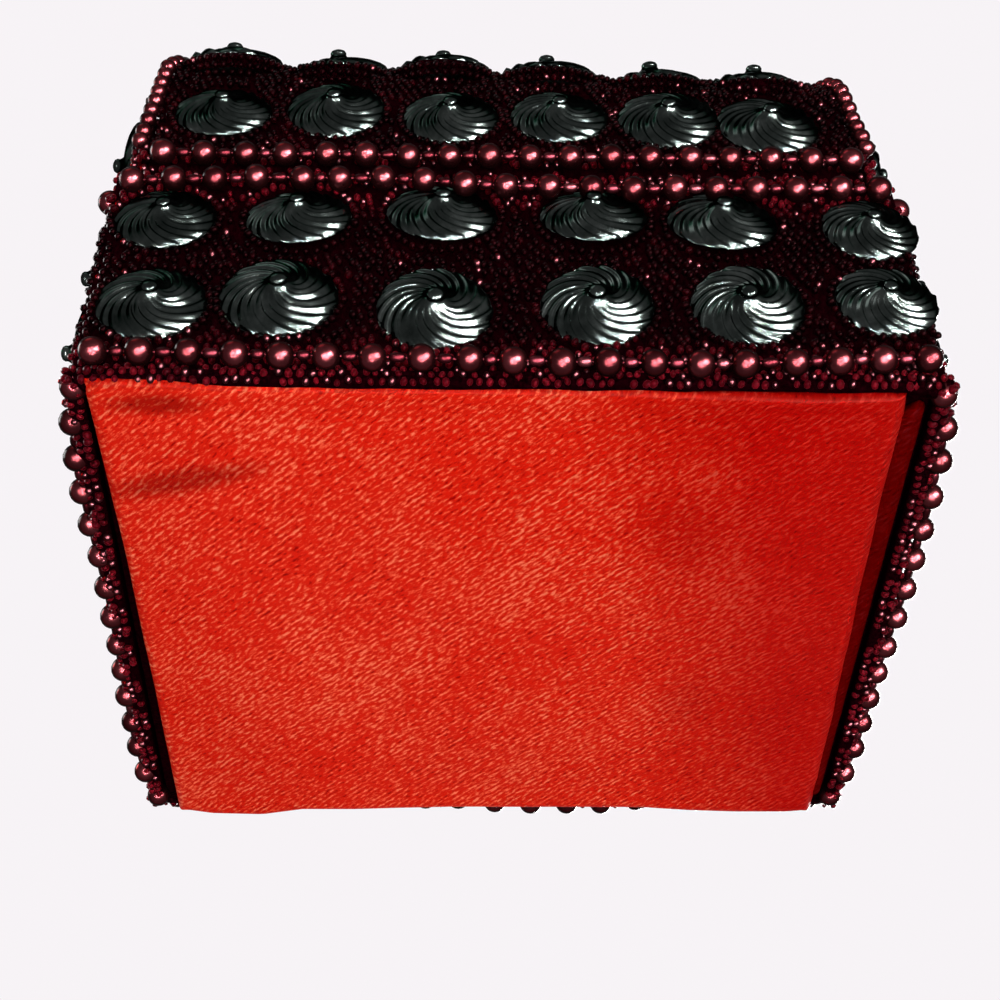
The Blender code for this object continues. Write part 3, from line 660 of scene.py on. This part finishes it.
def seed_places(place, out, thread, rng):
    """Matrices for seeds that lie along their thread, each a little out of line and of its own size."""
    count = len(place)
    loose = rng.normal(0, 0.42, (count, 1))
    along = unit(thread + loose * np.cross(out, thread))
    size = rng.uniform(0.74, 1.10, (count, 1)) * SEED_RADIUS
    turn = np.stack((out, np.cross(out, along), along), axis=-1) * size[..., None]
    return np.concatenate((turn, place[..., None]), axis=-1)


def sew(name, sets, body):
    """One piece of all the seeds whose matrices are in these sets; none lies below the floor."""
    points, faces = repeated(SEED, np.concatenate(sets))
    points[:, 2] = np.maximum(points[:, 2], 0.00005)
    piece(name, points, faces, GLASS, body, "seed_beads")


def seed_line(number, low, high):
    """Where the seeds of one row lie; every other row starts half a step further on."""
    return np.arange(low + (number % 2) * SEED_PITCH / 2, high, SEED_PITCH)


def field(low, high, rng):
    """Seeds sewn in loose rows over a flat patch, as places on it."""
    spots = []
    for number, row in enumerate(np.arange(low[1], high[1], SEED_ROW)):
        places = seed_line(number, low[0], high[0])
        spots.append(np.stack((places, np.full_like(places, row)), axis=1))
    spots = np.concatenate(spots)
    return spots + rng.normal(0, SEED_PITCH * 0.16, spots.shape)


def ring_angles(reach, rng):
    """Where the seeds lie round a stud, at this distance from its middle."""
    count = int(TAU * reach / (SEED_PITCH * 0.98))
    return np.arange(count) / count * TAU + rng.uniform(0, 1)


def ring_spots(middle, radius, rng):
    """Seeds round one stud on a wall: distance along it, height and angle."""
    angle = ring_angles(radius + RING_OFF, rng)
    wander = radius + RING_OFF + rng.normal(0, 0.00012, len(angle))
    return np.stack((middle[0] + wander * np.cos(angle), middle[1] + wander * np.sin(angle), angle), axis=1)


def wall_seeds(part, side, rng, low, high):
    """The field of seeds on one wall, with a ring of seeds round every stud."""
    middles, radii = wall_studs(part, side)
    half_x, half_y = half_widths(part, low)
    reach = (half_y if side in ENDS else half_x) - SEED_RADIUS
    spots = field((-reach, low), (reach, high), rng)
    away = np.linalg.norm(spots[:, None] - middles[None], axis=2)
    spots = spots[(away > radii + RING_OFF + SEED_PITCH * 0.80).all(axis=1)]
    for strand_at in {"body": (BASE_STRAND, BODY_RIM), "lid": (LID_RIM,)}[part]:
        if side != "back" or strand_at == BASE_STRAND:
            spots = spots[np.abs(spots[:, 1] - strand_at) > PEARL_RADIUS * 0.62]
    rings = np.concatenate([ring_spots(middle, radius, rng) for middle, radius in zip(middles, radii)])
    rings = rings[(np.abs(rings[:, 0]) < reach) & (rings[:, 1] > low) & (rings[:, 1] < high)]
    off = rng.normal(-0.00008, 0.00012, len(spots))
    sets = [seed_places(*on_wall(part, side, spots[:, 0], spots[:, 1], off), rng)]
    off = rng.normal(0.00010, 0.00008, len(rings))
    place, out, thread = on_wall(part, side, rings[:, 0], rings[:, 1], off)
    up = np.cross(out, thread)
    up *= np.sign(up[:, 2:])
    turned = -np.sin(rings[:, 2:]) * thread + np.cos(rings[:, 2:]) * up
    sets.append(seed_places(place, out, turned, rng))
    sew(f"{part}_{side}_seeds", sets, part)


def wall_cloth(part, side, low, high):
    """The cloth of one wall: a thin, slightly uneven sheet just below its beads."""
    wide = 61
    tall = 25
    half_x, half_y = half_widths(part, high)
    reach = (half_y - SKIN + GAP) if side in ENDS else half_x - CLOTH_IN
    u, v = np.meshgrid(np.linspace(-reach, reach, wide), np.linspace(low, high, tall))
    u, v = u.ravel(), v.ravel()
    ripple = np.array([noise.noise(Vector((a * 260, b * 260, len(side)))) for a, b in zip(u, v)])
    face, out, thread = on_wall(part, side, u, v, -CLOTH_IN + 0.00012 * ripple)
    many = len(face)
    quads = grid_faces(tall, wide)
    quads += [tuple(many + index for index in quad[::-1]) for quad in quads]
    index = np.arange(many).reshape(tall, wide)
    rim = np.concatenate((index[0], index[1:, -1], index[-1, -2::-1], index[-2:0:-1, 0])).tolist()
    quads += [(here, many + here, many + after, after) for here, after in zip(rim, rim[1:] + rim[:1])]
    cloth = piece(f"{part}_{side}_cloth", np.concatenate((face, face - out * (SKIN - 2 * CLOTH_IN))), quads,
                  CLOTH, part, "seed_beads", smooth=False)
    tidy_mesh(cloth)
    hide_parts(f"{part}_{side}_beading")


def beaded_wall(part, side):
    rng = random_for(part + side)
    low, high = (BODY_LOW, BODY_TOP) if part == "body" else (LID_LOW, LID_EDGE)
    wall_cloth(part, side, low, high)
    middles, radii = wall_studs(part, side)
    lid_end = part == "lid" and side in ENDS
    off, size, kinds = (LID_END_PROUD, LID_END_SIZE, FOOTED_KINDS) if lid_end else (-0.0001, 1.0, STUD_KINDS)
    place, out, thread = on_wall(part, side, middles[:, 0], middles[:, 1], off)
    if side == "front":
        tips = np.array(FRONT_TIPS[part])[:, None]
        out = unit(out + np.tan(np.radians(tips)) * np.array((0.0, 0.0, 1.0)))
    set_studs(f"{part}_{side}_swirl_studs", place, out, thread, radii * size, rng, part, kinds,
              FRONT_STUD_TALL if side == "front" else 1.0)
    wall_seeds(part, side, rng, low + SEED_RADIUS, high - SEED_RADIUS * 0.4)


def eased_axis(half, edge, fine, coarse):
    """Places across the top, close together where its shoulder is steep."""
    angle = np.linspace(0, math.pi / 2, fine + 1)
    shoulder = half - edge * (1 - np.cos(angle) ** (2 / SHOULDER))
    flat = np.linspace(0, half - edge, coarse + 1)[:-1]
    right = np.concatenate((flat, shoulder[::-1]))
    return np.concatenate((-right[:0:-1], right))


def shoulder_rows(side, rng):
    """Seeds sewn along one side of the top's shoulder: places, the way out and the way along."""
    half_x, half_y = half_widths("lid", LID_EDGE)
    at_end = side in ENDS
    deep = LID_ROUND if at_end else LID_SLOPE
    angle = np.linspace(0, math.pi / 2, 200)
    full = np.sin(angle) ** (2 / SHOULDER)
    over = np.cos(angle) ** (2 / SHOULDER)
    path = np.concatenate(([0], np.cumsum(np.hypot(np.diff(full) * LID_RISE, np.diff(over) * deep))))
    sets = []
    for number, reach in enumerate(np.arange(0.0005, path[-1], SEED_ROW)):
        full_here = np.interp(reach, path, full)
        over_here = np.interp(reach, path, over)
        x_end = half_x - LID_ROUND * (1 - over_here)
        y_end = half_y - LID_SLOPE * (1 - over_here)
        end = (y_end if at_end else x_end) - TOP_EDGE_IN
        line = seed_line(number, -end, end)
        line = np.clip(line + rng.normal(0, SEED_PITCH * 0.18, len(line)), -end, end)
        place = by_wall(side, x_end if at_end else y_end, line, LID_EDGE)
        x, y = place[:, 0], place[:, 1]
        tall = LID_RISE - LID_TILT * x
        flat, steep = over_here ** (SHOULDER - 1) / deep, full_here ** (SHOULDER - 1) / tall
        out = unit(by_wall(side, flat, 0.0, steep))
        place[:, 2] += tall * full_here + LID_CROWN * (1 - (x / half_x) ** 2) * (1 - (y / half_y) ** 2)
        place += out * rng.normal(-0.00005, 0.0001, (len(line), 1))
        sets.append((place, out, by_wall(side, 0.0, 1.0, 0.0) * np.ones((len(line), 1))))
    return [np.concatenate(rows) for rows in zip(*sets)]


def flat_rows(rng):
    """Seeds sewn in rows over the middle of the top."""
    half_x, half_y = half_widths("lid", LID_EDGE)
    spots = field((LID_ROUND - half_x, LID_SLOPE - half_y), (half_x - LID_ROUND, half_y - LID_SLOPE), rng)
    return on_top(spots[:, 0], spots[:, 1], -0.00005)


def lid_top_cloth():
    half_x, half_y = half_widths("lid", LID_EDGE)
    x_line = eased_axis(half_x, LID_ROUND, 14, 30)
    y_line = eased_axis(half_y, LID_SLOPE, 22, 24)
    x, y = (axis.ravel() for axis in np.meshgrid(x_line, y_line))
    height = np.maximum(dome_height(x, y) - CLOTH_IN, LID_EDGE - GAP)
    face = np.stack((x - np.sign(x) * CLOTH_IN * (np.abs(x) / half_x) ** 8,
                     y - np.sign(y) * CLOTH_IN * (np.abs(y) / half_y) ** 8, height), axis=1)
    cloth = piece("lid_top_cloth", face, grid_faces(len(y_line), len(x_line)), CLOTH, "lid", "seed_beads")
    thick = cloth.modifiers.new("thickness", "SOLIDIFY")
    thick.thickness = 0.0008
    thick.offset = -1
    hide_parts("lid_top_beading")


def beaded_top():
    """The padded top's cloth, its studs and its seeds."""
    rng = np.random.default_rng(77)
    lid_top_cloth()
    middles = top_studs()
    place, out, thread = on_top(middles[:, 0], middles[:, 1], -0.0001)
    front = len(TOP_FRONT_X)
    lean = math.radians(TOP_FRONT_LEAN)
    out[:front] = (0.0, -math.sin(lean), math.cos(lean))
    thread[:front] = (1.0, 0.0, 0.0)
    place[:front, 2] += TOP_FRONT_LIFT
    set_studs("lid_top_front_swirl_studs", place[:front], out[:front], thread[:front], TOP_FRONT_RADIUS, rng,
              "lid", FOOTED_KINDS, TOP_FRONT_TALL)
    set_studs("lid_top_swirl_studs", place[front:], out[front:], thread[front:], LID_STUD_RADIUS, rng, "lid")
    radii = np.full(len(place), LID_STUD_RADIUS)
    radii[:front] = TOP_FRONT_RADIUS
    sets = []
    for where, *ways in [flat_rows(rng)] + [shoulder_rows(side, rng) for side in SIDES]:
        apart = where[:, None] - place[None]
        rise = np.einsum("sni,ni->sn", apart, out)
        flat = np.sqrt(np.maximum(np.linalg.norm(apart, axis=2) ** 2 - rise ** 2, 0))
        clear = radii + RING_OFF + SEED_PITCH * 0.70
        keep = ((flat > clear) | (np.abs(rise) > STUD_HEIGHT + 0.0003)).all(axis=1)
        for side in SIDES:
            spots, wall_radii = wall_studs("lid", side)
            centres = on_wall("lid", side, spots[:, 0], spots[:, 1])[0]
            apart = np.linalg.norm(where[:, None] - centres[None], axis=2)
            keep &= (apart > wall_radii + RING_OFF).all(axis=1)
        sets.append(seed_places(where[keep], ways[0][keep], ways[1][keep], rng))
    half_x, half_y = half_widths("lid", LID_EDGE)
    for number, (centre, normal, along, radius) in enumerate(zip(place, out, thread, radii)):
        reach = radius + RING_OFF
        angle = ring_angles(reach, rng)[:, None]
        away = np.cos(angle) * along + np.sin(angle) * np.cross(normal, along)
        ring = centre + reach * away
        ring_x = np.clip(ring[:, 0], TOP_EDGE_IN - half_x, half_x - TOP_EDGE_IN)
        ring_y = np.clip(ring[:, 1], TOP_EDGE_IN - half_y, half_y - TOP_EDGE_IN)
        near = np.abs(dome_height(ring_x, ring_y) - ring[:, 2]) < 0.0012
        ring_at, ring_out = on_top(ring_x[near], ring_y[near], 0.0002)[:2]
        sets.append(seed_places(ring_at, ring_out, unit(np.cross(ring_out, away[near])), rng))
        if number < front:
            beside = away[~near]
            for drop in SKIRT_DROPS:
                row = ring[~near] - normal * drop - beside * 0.15 * drop
                sets.append(seed_places(row, beside, np.cross(beside, normal), rng))
    sew("lid_top_seeds", sets, "lid")


# Strands of pearls

def tube(points, radius):
    """A thread along points, closed at its ends."""
    ahead = unit(np.gradient(points, axis=0))
    side = unit(np.cross(ahead, (0.31, 0.22, 0.93)))[:, None]
    other = np.cross(ahead[:, None], side)
    angle = (np.arange(THREAD_SIDES) / THREAD_SIDES * TAU)[:, None]
    rings = points[:, None] + radius * (np.cos(angle) * side + np.sin(angle) * other)
    return rings.reshape(-1, 3), loft_faces(len(points), THREAD_SIDES)


def strand(name, route, radius, pitch, count, rng, body):
    """Pearls along a route, on their thread, with a small bead between each two."""
    middles = (np.arange(count) - (count - 1) / 2) * pitch + rng.normal(0, pitch * 0.025, count)
    ends = pitch * (count - 1) / 2 + radius * 0.9
    line = np.array([route(distance) for distance in np.linspace(-ends, ends, 6 * count)])
    matrices = []
    for middle in middles:
        place = np.array(route(middle)) + rng.normal(0, radius * 0.04, 3)
        matrices.append(np.column_stack((np.eye(3) * radius * rng.uniform(0.94, 1.0), place)))
    pearls = piece(name + "_strand", *repeated(PEARL, np.array(matrices)), PEARL_LOOK, body, "maroon_pearls")
    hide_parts(name)
    small = []
    for here, after in zip(middles, middles[1:]):
        centre = (here + after) / 2
        place = np.array(route(centre))
        along = unit(np.array(route(centre + 0.0001)) - place)
        out = unit(np.cross(along, rng.normal(0, 1, 3)))
        long_way = (after - here - 2 * radius) * SPACER_LONG
        thick = radius * SPACER_THICK
        small.append(np.stack((out * thick, np.cross(along, out) * thick, along * long_way, place), axis=1))
    beads = merged([repeated(SMALL_BALL, np.array(small)), tube(line, radius * THREAD_THICK)])
    piece(name + "_strand_spacers", *beads, SPACER, body, "seed_beads")


def rim_strand(name, part, side, height):
    half_x, half_y = half_widths(part, height)
    wall, half, pitch = (half_x, half_y, SIDE_PITCH) if side in ENDS else (half_y, half_x, FRONT_PITCH)
    press_at, press = np.array(STRAND_PRESS.get(name, STRAIGHT)).T
    bow_at, bow = np.array(STRAND_BOW.get(name, STRAIGHT)).T

    def route(distance):
        along = distance + STRAND_SHIFT.get(name, 0.0)
        sunk = np.interp(distance, press_at, press)
        level = height + np.interp(along, bow_at, bow) - SINK_DROP * sunk
        return by_wall(side, wall + GAP + PEARL_RADIUS - sunk, along, max(level, PEARL_RADIUS * 1.04))

    count = int(2 * (half - CORNER_ROUND) / pitch + 1e-6) + 1
    strand(name, route, PEARL_RADIUS, pitch, count, random_for(name), part)


def corner_strand(name, way_x, way_y):
    """Small pearls up one corner of the lid and on over its padded shoulder."""
    low = LID_RIM + PEARL_RADIUS + CORNER_RADIUS + GAP
    half_x, half_y = half_widths("lid", LID_EDGE)
    points = []
    outward = Vector((1, 1, 0)).normalized()
    for height in (low, (low + LID_EDGE) / 2, LID_EDGE):
        reach_x, reach_y = half_widths("lid", height)
        foot = CORNER_FOOT * (LID_EDGE - height) / (LID_EDGE - low)
        points.append(Vector((reach_x - foot, reach_y, height)) + outward * CORNER_HUG)
    for angle in (20, 35, 50, 62, 72):
        over = math.cos(math.radians(angle)) ** (2 / SHOULDER)
        x = half_x - LID_ROUND * (1 - over)
        y = half_y - LID_SLOPE * (1 - over)
        lift = Vector((1, 1, 1.2 * math.tan(math.radians(angle)))).normalized() * CORNER_HUG
        points.append(Vector((x, y, dome_height(way_x * x, y))) + lift)
    steps = [0.0]
    for here, there in zip(points, points[1:]):
        steps.append(steps[-1] + (there - here).length)
    count = int((steps[-1] - 2 * CORNER_RADIUS) / CORNER_PITCH) + 1

    def route(distance):
        along = distance + steps[-1] / 2
        leg = max(1, next((k for k, reach in enumerate(steps) if reach >= along), len(steps) - 1))
        share = (along - steps[leg - 1]) / (steps[leg] - steps[leg - 1])
        place = points[leg - 1].lerp(points[leg], share)
        return (way_x * place.x, way_y * place.y, place.z)

    strand(name, route, CORNER_RADIUS, CORNER_PITCH, count, random_for(name), "lid")


# Soft pieces

def edge_shift(side, along):
    knots, shifts = np.array(PAD_EDGES[side]).T
    return np.interp(along, knots, shifts)


def satin_creases(u, v):
    """Height of the satin's underside: soft hollows, and two creases near its left front corner."""
    soft = 0.5 + 0.5 * noise.noise(Vector((u * 2.3, v * 2.0, 1.7)))
    fine = 0.5 + 0.5 * noise.noise(Vector((u * 7.5, v * 6.0, 4.1)))
    height = 0.00030 * soft + 0.00010 * fine
    for (start_u, start_v), (end_u, end_v), depth in CREASES:
        along_u, along_v = end_u - start_u, end_v - start_v
        share = ((u - start_u) * along_u + (v - start_v) * along_v) / (along_u ** 2 + along_v ** 2)
        off = abs((u - start_u) * along_v - (v - start_v) * along_u) / math.hypot(along_u, along_v)
        fade = max(0.0, 1 - abs(2 * share - 1)) ** 0.7
        height += depth * fade * math.exp(-(off / CREASE_WIDTH) ** 2)
    return height * min(1.0, 12 * (1 - max(abs(u), abs(v))))


def satin_pad():
    """The satin-covered pad under the box: rolled edges, drawn-in sides and shallow creases."""
    half_x, half_y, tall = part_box("satin_base_pad")[1]
    pull = 0.0009
    roll = 0.0019
    edge_steps = 7
    steps = 96
    middle = steps - 2 * edge_steps
    bends = [math.radians(90 * step / edge_steps) for step in range(edge_steps)]
    insets = [roll * (1 - math.cos(bend)) for bend in bends]
    levels = [tall * 0.92 * (1 - math.sin(bend)) for bend in bends]
    shares = ([(1.0, inset) for inset in insets]
              + [(1 - 2 * step / middle, roll) for step in range(middle + 1)]
              + [(-1.0, inset) for inset in reversed(insets)])
    points = []
    for row, (v, inset_y) in enumerate(shares):
        for column, (u, inset_x) in enumerate(shares):
            level = min(row, column, steps - row, steps - column)
            wave_x = 0.00022 * noise.noise(Vector((3.0, v * 3.2, u)))
            wave_y = 0.00028 * noise.noise(Vector((u * 3.4, 7.0, v)))
            reach_x = (half_x - 0.0003 - pull * (1 - v * v) - inset_x + wave_x
                       + edge_shift("left" if u > 0 else "right", -v * half_y))
            if v > 0:
                reach_y = half_y - 0.0001 - 0.0002 * (1 - u * u) - 0.3 * inset_y + 0.5 * wave_y
            else:
                reach_y = half_y - inset_y + 0.3 * wave_y
            reach_y += v * v * edge_shift("front" if v > 0 else "back", -u * half_x)
            height = levels[level] if level < edge_steps else satin_creases(u, v)
            points.append((-u * reach_x, -v * reach_y, height))
    faces = [quad[::-1] for quad in grid_faces(steps + 1, steps + 1)]
    pad = piece("satin_base", points, faces, SATIN, "body", "red_satin")
    tidy_mesh(pad, tall, 0.985)
    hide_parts("satin_base_pad")


def base_reach(side):
    """How far one of the body's walls lies from the middle, and half its length."""
    return (BODY_HALF_X, BODY_HALF_Y) if side in ENDS else (BODY_HALF_Y, BODY_HALF_X)


def ribbon(name, side, outline, finish, slot):
    """A strip along one side of the base; its outline gives distances out from the wall and heights."""
    wall, half = base_reach(side)
    shares = np.linspace(-1, 1, 91)
    rows = []
    for share in shares:
        drawn_in = 0.0009 * smooth_step(abs(share), 0.965, 1.0)
        for number, (off, height) in enumerate(outline):
            sway = 0.00012 * noise.noise(Vector((share * 9, number * 0.8, len(side))))
            off = off - drawn_in + sway
            rows.append(by_wall(side, wall + off, share * (half + off), height + sway))
    made = piece(name, rows, loft_faces(len(shares), len(outline)), finish, "body", slot)
    tidy_mesh(made)


def beaded_hem(side):
    """The beaded cloth turned in under one wall, with the seeds along its fold."""
    rng = random_for(side, 5)
    ribbon(f"hem_{side}_cloth", side, HEMS[side], CLOTH, "seed_beads")
    wall, half = base_reach(side)
    half -= SEED_RADIUS
    edge = np.array(HEMS[side][:HEM_SEWN])
    path = np.concatenate(([0], np.cumsum(np.linalg.norm(np.diff(edge, axis=0), axis=1))))
    offs, levels = edge.T
    sets = []
    for number, reach in enumerate(np.arange(0.0004, path[-1], SEED_PITCH * 0.85)):
        off, next_off = np.interp((reach, reach + 0.0001), path, offs)
        level, next_level = np.interp((reach, reach + 0.0001), path, levels)
        ahead_off, ahead_up = unit(np.array((next_off - off, next_level - level)))
        line = seed_line(number, -half, half)
        line = line + rng.normal(0, SEED_PITCH * 0.12, len(line))
        line = line[rng.uniform(0, 1, len(line)) > 0.12]
        out = wall + off + rng.normal(0, 0.00012, len(line))
        place = by_wall(side, out, line, level + rng.normal(0, 0.00012, len(line)))
        many = np.ones((len(line), 1))
        sets.append(seed_places(place, by_wall(side, -ahead_up, 0.0, ahead_off) * many,
                                by_wall(side, 0.0, 1.0, 0.0) * many, rng))
    sew(f"hem_{side}_seeds", sets, "body")


def lid_wadding():
    """Soft wadding under the beaded top, with a flat underside on its board."""
    low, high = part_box("lid_wadding")
    line = np.linspace(-1, 1, 61)
    x, y = (axis.ravel() for axis in np.meshgrid(line * high.x, line * high.y))
    lumps = np.array([noise.noise(Vector((a * 240, b * 240, 2.0))) for a, b in zip(x, y)])
    top = on_top(x, y, -0.0021)[0][:, 2] + 0.0002 * lumps
    points = np.stack((x, y, np.clip(top, low.z + 0.0006, high.z)), axis=1)
    soft = piece("lid_soft_wadding", points, grid_faces(len(line), len(line)), WADDING, "lid", "wadding")
    tidy_mesh(soft, low.z)
    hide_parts("lid_wadding")


def dress_frame():
    """Finishes for the frame's own boards, linings and hinges."""
    for name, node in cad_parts.items():
        if name == "base_board":
            finish, slot = CLOTH, "seed_beads"
        elif "lining" in name:
            finish, slot = LINING, "satin_lining"
        elif "board" in name:
            finish, slot = CARD, "grey_board"
        elif "hinge" in name:
            finish, slot = BRASS, "hinge_brass"
        else:
            continue
        node.data.materials.clear()
        node.data.materials.append(finish)


# Stage

def make_world():
    """Pale where it is seen or mirrored, and a weaker plain light on everything else."""
    look = Look("studio", bpy.data.worlds)
    bpy.context.scene.world = look.block
    shown = look.nodes["Background"]
    look.put(shown.inputs["Color"], (*BACKGROUND, 1))
    look.put(shown.inputs["Strength"], 1.0)
    ambient = look.add("Background", {"Color": (1, 1, 1, 1), "Strength": AMBIENT})
    path = look.add("LightPath", {}).outputs
    seen = look.calc("MAXIMUM", path["Is Camera Ray"], path["Is Glossy Ray"])
    seen = look.calc("MAXIMUM", seen, path["Is Transmission Ray"])
    mix = look.add("MixShader", {"Fac": seen, 1: ambient.outputs[0], 2: shown.outputs[0]})
    look.put(look.nodes["World Output"].inputs["Surface"], mix.outputs[0])


def make_floor():
    """A pale floor that shows from above only, and stops no light."""
    look = Look("pale_floor")
    finish = look.finish(Base_Color=(*BACKGROUND, 1), Roughness=0.9, Specular_IOR_Level=0.0)
    under = look.add("NewGeometry", {}).outputs["Backfacing"]
    mix = look.add("MixShader", {"Fac": under, 1: look.nodes["Principled BSDF"].outputs[0],
                                 2: look.add("BsdfTransparent", {}).outputs[0]})
    look.put(look.nodes["Material Output"].inputs["Surface"], mix.outputs[0])
    mesh = bpy.data.meshes.new("floor")
    size = 1.6
    mesh.from_pydata([(-size, -size, 0), (size, -size, 0), (size, size, 0), (-size, size, 0)], [],
                     [(0, 1, 2, 3)])
    mesh.materials.append(finish)
    floor = placed("floor", mesh)
    floor.visible_shadow = False
    floor.visible_diffuse = False
    floor.visible_glossy = False
    floor.visible_transmission = False


def add_lamp(name, place, size, level, glints_only=False, glints=True):
    """A round lamp; lamps of level 1 give a surface that faces them plain, full light."""
    data = bpy.data.lights.new(name, "AREA")
    data.shape = "DISK"
    data.size = size
    away = Vector(place) - Vector(LIT)
    data.energy = level * (math.pi * away.length) ** 2
    lamp = placed(name, data)
    lamp.location = place
    lamp.rotation_euler = away.to_track_quat("Z", "Y").to_euler()
    lamp.visible_diffuse = not glints_only
    lamp.visible_glossy = glints
    # Two lamps share a place below the floor, where this sampling would leave rings in the pearls
    data.cycles.use_multiple_importance_sampling = place[2] > 0.0


def make_lights():
    """A flash near the camera, lamps that only add glints, and soft light from above."""
    add_lamp("flash", (0.03, -0.40, -0.44), 0.60, 0.90, glints=False)
    add_lamp("glint_middle", (0.03, -0.40, -0.44), 0.68, 21.0, glints_only=True)
    add_lamp("glint_right", (0.40, -0.50, -0.22), 0.44, 16.0, glints_only=True)
    add_lamp("glint_behind", (0.25, 0.60, 0.45), 0.50, 8.0, glints_only=True)
    add_lamp("glint_left", (-0.70, 0.10, 0.40), 0.40, 5.0, glints_only=True)
    add_lamp("key_above", (-0.35, -0.45, 0.75), 0.45, 0.45)
    add_lamp("back_above", (0.40, 0.60, 0.55), 0.45, 0.28)


def make_camera():
    data = bpy.data.cameras.new("camera")
    data.lens = CAMERA_LENS
    data.sensor_width = 36.0
    data.clip_start = 0.01
    data.clip_end = 20.0
    camera = placed("camera", data)
    camera.location = CAMERA_PLACE
    camera.rotation_euler = Euler([math.radians(angle) for angle in CAMERA_TURN])
    bpy.context.scene.camera = camera
    bpy.context.scene.view_settings.view_transform = "Standard"


SATIN = satin("red_satin_weave")
LINING = satin("red_satin_lining", 0.92, painted_shade=False)
# The fold by the pad's right edge is the pad's satin darkened to about a seventh: painted shade
SHADED_SATIN_FOLD = satin("satin_fold_painted_shade", (0.14, 0.02, 0.05), painted_shade=False, gloss=0.0)
GLASS = bead_glass()
SPACER = spacer_glass()
PEARL_LOOK = pearl_finish()
METAL = stud_metal()
CLOTH = ground_cloth()
CARD = card_finish()
WADDING = wadding_finish()
BRASS = brass_finish()

dress_frame()
for part in ("body", "lid"):
    for side in SIDES:
        beaded_wall(part, side)
beaded_top()
for side in SIDES:
    rim_strand(f"base_{side}_pearls", "body", side, BASE_STRAND)
    if side != "back":
        rim_strand(f"body_rim_{side}_pearls", "body", side, BODY_RIM)
        rim_strand(f"lid_rim_{side}_pearls", "lid", side, LID_RIM)
for depth, way_y in (("front", -1), ("back", 1)):
    for width, way_x in (("left", -1), ("right", 1)):
        corner_strand(f"lid_{depth}_{width}_corner_pearls", way_x, way_y)
for side in SIDES:
    beaded_hem(side)
ribbon("satin_edge_fold", "right", SATIN_FOLD, SHADED_SATIN_FOLD, "red_satin")
satin_pad()
lid_wadding()
make_world()
make_floor()
make_lights()
make_camera()

bpy.context.view_layer.update()
